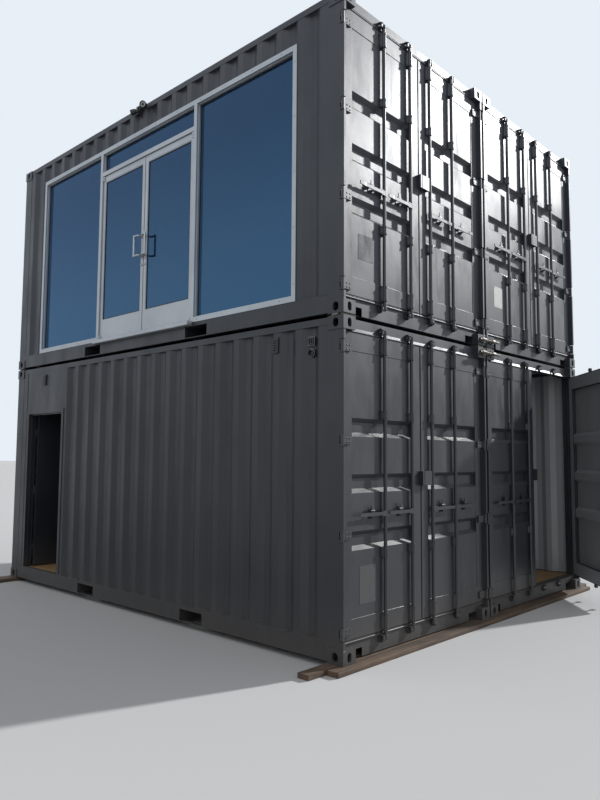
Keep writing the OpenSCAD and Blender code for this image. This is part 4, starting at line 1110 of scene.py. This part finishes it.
@dataclass
class Storefront:
    """Gaskets, brush, sealant, locks and screws of the aluminium storefront."""

    layout: Layout
    tube: float = 0.051
    door_width: float = 1.829
    door_height: float = 2.090
    pane_front: float = 0.050
    pane: float = 0.024
    leaf_set: float = 0.016
    leaf_pane_set: float = 0.010
    leaf_depth: float = 0.045
    leaf_gap: float = 0.004
    leaf_foot: float = 0.014
    stile: float = 0.062
    kick: float = 0.254
    leaf_head: float = 0.085
    lock_height: float = 0.790
    low: Vector = field(init=False)
    high: Vector = field(init=False)

    def __post_init__(self) -> None:
        """Reads the frame's box."""
        self.low, self.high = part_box("storefront_frame")

    @property
    def middle(self) -> float:
        """The place of the double door's middle along X."""
        return (self.low.x + self.high.x) / 2

    def lights(self) -> list[Opening]:
        """Gives each fixed light's opening as (x0, x1, z0, z1)."""
        width = (self.high.x - self.low.x - self.door_width) / 2 - 2 * self.tube
        low, high = self.low.z + self.tube, self.high.z - self.tube
        left, right = self.low.x + self.tube, self.high.x - self.tube
        half = self.door_width / 2
        door_top = self.low.z + self.door_height + self.tube
        return [
            (left, left + width, low, high),
            (right - width, right, low, high),
            (self.middle - half, self.middle + half, door_top, high),
        ]

    def leaf_openings(self) -> list[Opening]:
        """Gives each door leaf's glazed opening as (x0, x1, z0, z1)."""
        outer = self.door_width / 2 - self.leaf_gap - self.stile
        inner = self.leaf_gap / 2 + self.stile
        low = self.low.z + self.leaf_foot + self.kick
        high = self.low.z + self.door_height - self.leaf_gap - self.leaf_head
        return [
            (self.middle - outer, self.middle - inner, low, high),
            (self.middle + inner, self.middle + outer, low, high),
        ]

    def build(self) -> None:
        """Makes the pieces."""
        brush_width = self.leaf_gap - 0.0006
        self.gaskets().build(Finish.RUBBER, smooth=35.0)
        self.sealant().build(Finish.RUBBER, smooth=60.0)
        self.strip("meeting_brush", brush_width, 0.010, self.leaf_depth / 2).build(Finish.RUBBER)
        self.strip("meeting_seal", 0.009, 0.0016, -0.0002).build(Finish.RUBBER)
        self.locks().build(Finish.ALUMINIUM, smooth=30.0)
        self.screws().build(Finish.ZINC, smooth=30.0)

    def gaskets(self) -> Mesh:
        """Draws a gasket round each pane, one before it and one behind it."""
        gaskets = Mesh("glazing_gaskets")
        bite = 0.0004
        fixed, leaf = self.low.y + self.pane_front, self.low.y + self.leaf_set + self.leaf_pane_set
        kinds = (
            (self.lights(), fixed, 0.0056, (0.003, 0.018)),
            (self.leaf_openings(), leaf, 0.007, (-0.002, 0.007)),
        )
        for openings, face, proud, reach in kinds:
            back = face + self.pane
            for opening in openings:
                self.gasket(gaskets, opening, (face - proud, face + bite), reach)
                self.gasket(gaskets, opening, (back - bite, back + proud), reach)
        return gaskets

    @staticmethod
    def gasket(mesh: Mesh, opening: Opening, depth: Sequence[float], reach: Sequence[float]) -> None:
        """Adds a gasket round an opening.

        Args:
            mesh: The mesh to add to.
            opening: The opening, as (x0, x1, z0, z1).
            depth: Where the gasket starts and ends along Y.
            reach: Where it starts and ends inwards from the opening's edge.
        """
        x0, x1, z0, z1 = opening
        outline = soft_outline(reach[1] - reach[0], depth[1] - depth[0])
        mesh.add_frame(outline + [sum(reach) / 2, sum(depth) / 2], [x0, 0.0, z0], [x1, 0.0, z1], 1)

    def sealant(self) -> Mesh:
        """Draws the bead of sealant round the frame, against the container's steel."""
        low = [self.low.x, self.low.y + 0.010, self.low.z]
        sealant = Mesh("storefront_sealant")
        sealant.add_frame(round_outline(0.006, 8), low, [self.high.x, low[1], self.high.z], 1)
        return sealant

    def strip(self, name: str, width: float, depth: float, inset: float) -> Mesh:
        """Draws an upright strip of rounded section between the meeting stiles.

        Args:
            name: The piece's name.
            width: The strip's width along X.
            depth: Its depth along Y.
            inset: Where its middle lies behind the leaves' outer face.

        Returns:
            The strip.
        """
        clear = 0.002
        low = self.low.z + self.leaf_foot + clear
        high = self.low.z + self.door_height - self.leaf_gap - clear
        y = self.low.y + self.leaf_set + inset
        path = np.array([[self.middle, y, low], [self.middle, y, high]])
        strip = Mesh(name)
        strip.add_grid(carry(soft_outline(width, depth), path, ACROSS, False))
        return strip

    def locks(self) -> Mesh:
        """Draws a lock cylinder with its collar on each meeting stile, under the pull handle."""
        collar = [(0.019, 0.0), (0.019, 0.003), (0.016, 0.006)]
        cylinder = [(0.014, 0.007), (0.014, 0.011), (0.0125, 0.012)]
        away = (self.leaf_gap + self.stile) / 2
        face = self.low.y + self.leaf_set + 0.0003
        z = self.low.z + self.leaf_foot + self.lock_height
        spots = [(self.middle + sign * away, face, z) for sign in (-1, 1)]
        return stamped("lock_cylinders", spun(collar + cylinder, 20), spots, FRONT)

    def screws(self) -> Mesh:
        """Draws the pan-head screws along the frame's jambs, head and sill, but for the doorway."""
        inset, jamb_end, rail_end = 0.026, 0.16, 0.20
        away = self.door_width / 2 + 0.08
        rows = np.linspace(self.low.z + jamb_end, self.high.z - jamb_end, 5)
        columns = np.linspace(self.low.x + rail_end, self.high.x - rail_end, 12)
        spots = [(x, z) for z, x in product(rows, (self.low.x + inset, self.high.x - inset))]
        spots += [(x, self.high.z - inset) for x in columns]
        spots += [(x, self.low.z + inset) for x in columns if abs(x - self.middle) > away]
        places = [(x, self.low.y, z) for x, z in spots]
        return stamped("storefront_screws", dome_rivet(0.0055, 0.0026), places, FRONT)


@dataclass
class MarkerPlate:
    """A bare plate, riveted at its corners to a leaf's flat panel."""

    leaf: CargoLeaf
    label: str
    y: tuple[float, float]
    z: tuple[float, float]
    finish: Finish = Finish.COATED
    thickness: float = 0.0016
    sunk: float = 0.0004
    corner: float = 0.008
    rivet_edge: float = 0.014

    def build(self) -> None:
        """Makes the plate and its rivets."""
        inset = self.leaf.face_set + self.leaf.panel_set
        back, face = self.leaf.x(inset + self.sunk), self.leaf.x(inset - self.thickness)
        size = (self.y[1] - self.y[0], self.z[1] - self.z[0])
        middle = ((self.y[0] + self.y[1]) / 2, (self.z[0] + self.z[1]) / 2)
        outline = rounded_box_outline(*size, self.corner, 4) + middle
        rows = [np.column_stack([np.full(len(outline), x), outline]) for x in (back, face)]
        plate = Mesh(f"plate_{self.label}")
        plate.add_grid(np.array(rows))
        plate.moved(self.leaf.place).build(self.finish, self.leaf.body)
        away = [side / 2 - self.rivet_edge for side in size]
        signs = product((-1, 1), (-1, 1))
        spots = [(face, middle[0] + a * away[0], middle[1] + b * away[1]) for a, b in signs]
        rivets = stamped(f"plate_rivets_{self.label}", dome_rivet(0.005, 0.0025), spots, ALONG)
        rivets.moved(self.leaf.place).build(Finish.ZINC, self.leaf.body, 30.0)


@dataclass
class Planks:
    """Rough-sawn sole boards in place of the plain ones."""

    board: float = 0.122
    split: float = 0.006
    step_back: float = 0.205
    roughness: float = 0.0012
    ragged: float = 0.004
    corner: float = 0.004
    rows: int = 140
    seed: int = 4

    def build(self) -> None:
        """Makes the four boards as one piece, inside the box of the plain ones."""
        low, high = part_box("sole_boards")
        random = np.random.default_rng(self.seed)
        planks = Mesh("rough_planks")
        inner = self.board + self.split
        boards = (
            (low.x, self.step_back),
            (low.x + inner, 0.0),
            (high.x - self.board, self.step_back),
            (high.x - inner - self.board, 0.0),
        )
        for start, back in boards:
            middle = (start + self.board / 2, (low.z + high.z) / 2)
            self.add_board(planks, random, middle, (low.y + back, high.y - back), high.z - low.z)
        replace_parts(planks.build(Finish.TIMBER, smooth=35.0), "sole_boards")

    def add_board(
        self,
        mesh: Mesh,
        random: np.random.Generator,
        middle: tuple[float, float],
        ends: tuple[float, float],
        tall: float,
    ) -> None:
        """Adds one board: its outline shrinks by smoothed random steps of up to the roughness.

        Args:
            mesh: The mesh to add to.
            random: Where the random steps come from.
            middle: The board's middle in X and Z.
            ends: Its two ends in Y.
            tall: Its thickness.
        """
        outline = rounded_box_outline(self.board, tall, self.corner)
        wear = random.random((self.rows, len(outline)))
        wear = (wear + np.roll(wear, 1, 0) + np.roll(wear, 2, 0) + np.roll(wear, 1, 1)) / 4
        shrink = 1 - self.roughness * wear[..., None] / (np.array([self.board, tall]) / 2)
        ring = outline[None] * shrink + middle
        y = np.repeat(np.linspace(*ends, self.rows)[:, None], len(outline), axis=1)
        y[0] += random.random(len(outline)) * self.ragged
        y[-1] -= random.random(len(outline)) * self.ragged
        mesh.add_grid(np.stack([ring[..., 0], y, ring[..., 1]], axis=2))


@dataclass
class PostWelds:
    """The weld beads between the corner castings and their posts."""

    layout: Layout
    casting: tuple[float, float] = (0.178, 0.118)
    side_set: float = 0.008
    door_face: float = 0.004
    door_reach: float = 0.034
    blind_reach: float = 0.088

    def build(self) -> None:
        """Makes the beads of both storeys as one piece each."""
        long, tall = self.casting
        turns = {
            1: [(long, self.side_set), (self.door_face, self.side_set), (self.door_face, self.door_reach)],
            -1: [(long, self.side_set), (self.side_set, self.side_set), (self.side_set, self.blind_reach)],
        }
        half_x, half_y = self.layout.length / 2, self.layout.width / 2
        for level, name in enumerate(LEVELS):
            beads = Mesh(f"post_beads_{name}")
            for row, side, end, z in product((0, 1), (-1, 1), turns, (tall, self.layout.height - tall)):
                bead = Mesh("bead")
                bead.add_bead(np.array([(end * (half_x - u), v - half_y, z) for u, v in turns[end]]), UP)
                beads.include(bead.moved(self.layout.place(level, row, side)))
            beads.build(Finish.PAINT, smooth=60.0)


@dataclass
class LampHead:
    """A face in one round head of the camera bracket, seen along the head's own axis."""

    label: str
    start: tuple[float, float, float]
    tilt: float
    turn: float
    radius: float
    length: float
    recess: float = 0.012
    wall: float = 0.0065

    def build(self, origin: np.ndarray) -> None:
        """Makes the lamp's face and the low dome at its middle.

        Args:
            origin: The bracket's own origin.
        """
        tilt, turn = math.radians(self.tilt), math.radians(self.turn)
        axis = np.array([math.sin(tilt) * math.sin(turn), -math.sin(tilt) * math.cos(turn), math.cos(tilt)])
        floor = origin + np.array(self.start) + axis * (self.length - self.recess)
        inner = self.radius - self.wall
        ring = [(inner, -0.0002), (inner, 0.002), (inner - 0.003, 0.0035), (self.radius * 0.3, 0.0042)]
        dome = [(self.radius * 0.26, 0.0042), (self.radius * 0.22, 0.0062), (self.radius * 0.12, 0.0075)]
        stamped(f"lamp_face_{self.label}", spun(ring, 28), [floor], axis).build(Finish.LAMP, smooth=30.0)
        stamped(f"lamp_eye_{self.label}", spun(dome, 20), [floor], axis).build(Finish.LENS, smooth=50.0)


def build_lamps(layout: Layout) -> None:
    """Makes the faces of the two heads and the eye of the body between them.

    Args:
        layout: Where the containers stand.
    """
    over_side, under_top = 0.008 - layout.width / 2, layout.height - 0.042
    origin = layout.origin(1, 0) + np.array([0.0, over_side, under_top])
    LampHead("near", (0.028, -0.018, 0.002), 100.0, 30.0, 0.040, 0.078).build(origin)
    LampHead("far", (-0.140, -0.026, 0.0), 105.0, -60.0, 0.035, 0.072).build(origin)
    profile = [(0.020, -0.0003), (0.020, 0.0012), (0.015, 0.0040), (0.007, 0.0055)]
    spot = origin + np.array([-0.083, -0.051, 0.0])
    stamped("body_eye", spun(profile, 24), [spot], FRONT).build(Finish.LENS, smooth=50.0)


@dataclass
class SmallHardware:
    """Threads, rims, rivets and screws on the fittings."""

    layout: Layout
    vent_fold: int = 8
    vent_height: float = 2.715
    vent_depth: float = 0.0225
    inlet_face: float = 0.016
    floor_top: float = 0.170

    def build(self) -> None:
        """Makes the pieces."""
        self.threads().build(Finish.ZINC)
        self.vent_rivets().build(Finish.PAINT, smooth=30.0)
        self.inlet_screws().build(Finish.ZINC, smooth=30.0)
        self.inlet_rims().build(Finish.RIM, smooth=40.0)
        self.floor_screws().build(Finish.ZINC, smooth=30.0)

    def threads(self) -> Mesh:
        """Draws the ridges on the bridge clamps' rods: the radius steps up and down at each turn."""
        radius, crest, pitch = 0.0121, 0.0009, 0.004
        beyond_end, off_edge = 0.030, 0.059
        low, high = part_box("bridge_clamps")
        turns = int((high.y - low.y) / pitch)
        height = np.repeat(np.arange(turns), 2) * pitch + np.tile([0.0, pitch * 0.6], turns)
        profile = np.stack([np.tile([radius, radius + crest], turns), height], axis=1)
        lower, upper = self.layout.base_z
        heights = (lower + self.layout.height - off_edge, upper + off_edge)
        away = self.layout.length / 2 + beyond_end
        spots = [(self.layout.centre_x + sign * away, low.y, z) for sign, z in product((-1, 1), heights)]
        return stamped("bridge_threads", spun(profile, 10), spots, ACROSS)

    def vent_rivets(self) -> Mesh:
        """Draws four rivets round each vent cover's base."""
        reach, down, up, sunk = 0.026, 0.068, 0.046, 0.0005
        away = self.vent_fold * WallSheet.pitch
        y = WallSheet.inset - self.layout.width / 2 - self.vent_depth + sunk
        spots = [
            (sign * away + x, y, self.vent_height + lift)
            for sign, x, lift in product((-1, 1), (-reach, reach), (-down, up))
        ]
        rivets = Mesh("vent_rivets")
        for level, row, side in ((0, 0, -1), (0, 1, 1), (1, 1, 1)):
            piece = stamped("rivets", dome_rivet(0.004, 0.002), spots, FRONT)
            rivets.include(piece.moved(self.layout.place(level, row, side)))
        return rivets

    def inlet_screws(self) -> Mesh:
        """Draws the screws at the corners of the upper power inlet's flange."""
        side, top, bottom, proud = 0.007, 0.009, 0.075, 0.0002
        low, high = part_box("power_inlets")
        corners = product((low.x + side, high.x - side), (high.z - top, high.z - bottom))
        spots = [(x, low.y + self.inlet_face + proud, z) for x, z in corners]
        return stamped("inlet_screws", dome_rivet(0.004, 0.002), spots, FRONT)

    def inlet_rims(self) -> Mesh:
        """Draws a raised rim round each inlet's flange: a square one over a round one."""
        low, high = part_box("power_inlets")
        wide, proud, tall = 0.007, 0.0035, 0.084
        inset = wide / 2 + 0.0004
        radius = (high.x - low.x) / 2 - inset
        y = low.y + self.inlet_face - proud / 2 + 0.0003
        outline = rounded_box_outline(wide, proud, 0.0014)
        rims = Mesh("inlet_rims")
        corner = [low.x + inset, y, high.z - tall + inset]
        rims.add_frame(outline, corner, [high.x - inset, y, high.z - inset], 1)
        circle = np.insert(round_outline(radius, 32)[:, ::-1], 1, 0.0, axis=1)
        centre = [(low.x + high.x) / 2, y, low.z + inset + radius]
        rims.add_grid(carry(outline, circle + centre, ACROSS, True), True)
        return rims

    def floor_screws(self) -> Mesh:
        """Draws the rows of countersunk screws that hold the plywood to the joists."""
        first, last, pitch, half_width = 0.3, 0.2, 0.45, 1.08
        low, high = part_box("floors")
        columns = np.arange(low.x + first, high.x - last, pitch)
        rows = np.linspace(-half_width, half_width, 13)
        spots = [
            (x, middle + y, base + self.floor_top)
            for base, middle, x, y in product(self.layout.base_z, self.layout.row_y, columns, rows)
        ]
        return stamped("floor_screws", dome_rivet(0.006, 0.0006), spots, UP)


def sheet_finish(name: str) -> Finish:
    """Chooses the finish of a painted node by what it is, since thin sheets are wavy and line a room.

    Args:
        name: The node's name.

    Returns:
        The finish.
    """
    if name == "rear_right_leaf":
        return Finish.OPEN_LEAF
    if name.endswith("end_walls"):
        return Finish.END_WALL
    if name.endswith(("_wall", "_walls", "head_panel")):
        return Finish.SIDE_WALL
    if name == "roofs":
        return Finish.ROOF
    if name != "personnel_leaf" and name.endswith(("_leaf", "_leaves")):
        return Finish.LEAF
    return Finish.PAINT


def dress_nodes(frame: dict[str, Any]) -> None:
    """Gives every CAD node the finish of its material slot.

    Args:
        frame: What the frame was loaded as.
    """
    slots = {sub["node"]: sub["material_slot"] for sub in frame["record"]["subparts"]}
    by_slot = {slot: finish for finish, slot in SLOTS.items()}
    for name, node in frame["nodes"].items():
        finish = by_slot[slots[name]]
        if finish.slot == Finish.PAINT.slot:
            finish = sheet_finish(name)
        if not node.material_slots:
            node.data.materials.append(finish.material)
        for slot in node.material_slots:
            slot.material = finish.material
    LOG.info("%d nodes dressed", len(frame["nodes"]))


def build_leaves(layout: Layout) -> None:
    """Makes the pieces of the eight cargo leaves and their three bare plates.

    Args:
        layout: Where the containers stand.
    """
    leaves = [CargoLeaf(layout, *spot) for spot in product((0, 1), (0, 1), Side)]
    for leaf in leaves:
        leaf.build()
    lower_front, upper_front, upper_rear = leaves[0], leaves[4], leaves[6]
    MarkerPlate(lower_front, "lower_front", (-0.937, -0.713), (0.447, 0.766)).build()
    MarkerPlate(upper_front, "upper_front", (-0.955, -0.729), (0.520, 0.750)).build()
    MarkerPlate(upper_rear, "upper_rear", (-0.932, -0.737), (0.500, 0.740), Finish.PLATE).build()


def build_walls(layout: Layout) -> None:
    """Makes the beads of the eight side walls, left out where a wall is cut for a doorway.

    Args:
        layout: Where the containers stand.
    """
    half = layout.length / 2
    end = half - PostWelds.casting[0]
    whole = ((-end, end),)
    door_start, door_width = 0.323 - half, 1.016
    shop_start, shop_end = 0.6105 - half, half - 0.5705
    doorway = ((-end, door_start), (door_start + door_width, end))
    shop = ((-end, shop_start), (shop_end, end))
    for level, name in enumerate(LEVELS):
        WallSheet(layout, f"{name}_front", level, 0, -1, (doorway, shop)[level]).build()
        WallSheet(layout, f"{name}_front_party", level, 0, 1, whole).build()
        WallSheet(layout, f"{name}_rear_party", level, 1, -1, whole).build()
        WallSheet(layout, f"{name}_rear", level, 1, 1, whole).build()


@dataclass(frozen=True)
class Sun:
    """A sun lamp, with its angles in degrees and its strength in watts a square metre."""

    name: str
    azimuth: float
    height: float
    strength: float
    softness: float

    def build(self) -> None:
        """Makes the lamp, which shines from its azimuth, from +X towards +Y, and its height."""
        light = bpy.data.lights.new(self.name, "SUN")
        light.energy = self.strength
        light.angle = math.radians(self.softness)
        lamp = bpy.data.objects.new(self.name, light)
        turn, lift = math.radians(self.azimuth), math.radians(self.height)
        source = Vector((math.cos(turn) * math.cos(lift), math.sin(turn) * math.cos(lift), math.sin(lift)))
        lamp.rotation_mode = "QUATERNION"
        lamp.rotation_quaternion = source.to_track_quat("Z", "Y")
        bpy.context.scene.collection.objects.link(lamp)


@dataclass
class Studio:
    """A pale floor, soft light and the photograph's camera."""

    layout: Layout
    eye: tuple[float, float, float] = (6.7112, -6.8933, 1.6926)
    yaw: float = 43.255
    pitch: float = 4.689
    roll: float = 0.372
    focal_pixels: float = 693.59
    frame_height: int = 800
    floor_size: float = 400.0
    floor_tone: float = 0.50
    backdrop: Colour = (0.80, 0.86, 0.93)
    sky: Colour = (0.93, 0.96, 1.0)
    sky_strength: float = 0.55
    key: Sun = Sun("key", 71.0, 28.0, 4.0, 2.5)
    fill: Sun = Sun("fill", -50.0, 35.0, 0.35, 60.0)

    def build(self) -> None:
        """Makes the floor, the lights, the world and the camera."""
        self.make_floor()
        self.key.build()
        self.fill.build()
        self.make_world()
        self.make_camera()
        bpy.context.scene.view_settings.view_transform = "Standard"

    def make_floor(self) -> None:
        """Lays the pale floor at the height of the cabin's underside."""
        half = self.floor_size / 2
        corners = [(-half, -half, 0.0), (half, -half, 0.0), (half, half, 0.0), (-half, half, 0.0)]
        data = bpy.data.meshes.new("floor")
        data.from_pydata(corners, [], [(0, 1, 2, 3)])
        floor = bpy.data.objects.new("floor", data)
        bpy.context.scene.collection.objects.link(floor)
        tone = (self.floor_tone, self.floor_tone, self.floor_tone)
        paint = Graph("floor_paint").finish(Base_Color=tone, Roughness=0.9, Specular_IOR_Level=0.1)
        data.materials.append(paint)

    def make_world(self) -> None:
        """Sets an even light, and a pale backdrop for camera, mirror and glass rays."""
        world = bpy.data.worlds.new("studio")
        bpy.context.scene.world = world
        world.use_nodes = True
        tree = Tree(world.node_tree)
        rays = tree.node("ShaderNodeLightPath", {}, {}).outputs
        shown = Value(tree, rays["Is Camera Ray"]).larger(rays["Is Glossy Ray"])
        shown = shown.larger(rays["Is Transmission Ray"])
        light = tree.node("ShaderNodeBackground", {}, {"Color": self.sky, "Strength": self.sky_strength})
        back = tree.node("ShaderNodeBackground", {}, {"Color": self.backdrop})
        blend = tree.node("ShaderNodeMixShader", {}, {0: shown, 1: light.outputs[0], 2: back.outputs[0]})
        tree.node("ShaderNodeOutputWorld", {}, {"Surface": blend.outputs[0]})

    def make_camera(self) -> None:
        """Places the camera where the photograph was taken, turned by yaw, pitch and roll."""
        yaw, pitch, roll = (math.radians(angle) for angle in (self.yaw, self.pitch, self.roll))
        ahead = Vector((-math.sin(yaw) * math.cos(pitch), math.cos(yaw) * math.cos(pitch), math.sin(pitch)))
        level = Vector((math.cos(yaw), math.sin(yaw), 0.0))
        upright = level.cross(ahead)
        right = level * math.cos(roll) + upright * math.sin(roll)
        above = right.cross(ahead)
        data = bpy.data.cameras.new("camera")
        data.sensor_width = 36.0
        data.lens = self.focal_pixels * data.sensor_width / self.frame_height
        data.clip_end = self.floor_size
        camera = bpy.data.objects.new("camera", data)
        place = Matrix((right, above, -ahead)).transposed().to_4x4()
        offset = Vector((self.layout.centre_x, 0.0, self.layout.base_z[0]))
        place.translation = Vector(self.eye) + offset
        camera.matrix_world = place
        bpy.context.scene.collection.objects.link(camera)
        bpy.context.scene.camera = camera


def main() -> None:
    """Builds the looks of the cabin and the studio round it."""
    logging.basicConfig(level=logging.INFO, format="%(name)s %(message)s")
    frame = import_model()
    layout = Layout()
    dress_nodes(frame)
    build_leaves(layout)
    build_walls(layout)
    Storefront(layout).build()
    Planks().build()
    PostWelds(layout).build()
    build_lamps(layout)
    SmallHardware(layout).build()
    Studio(layout).build()


if __name__ == "__main__":
    main()
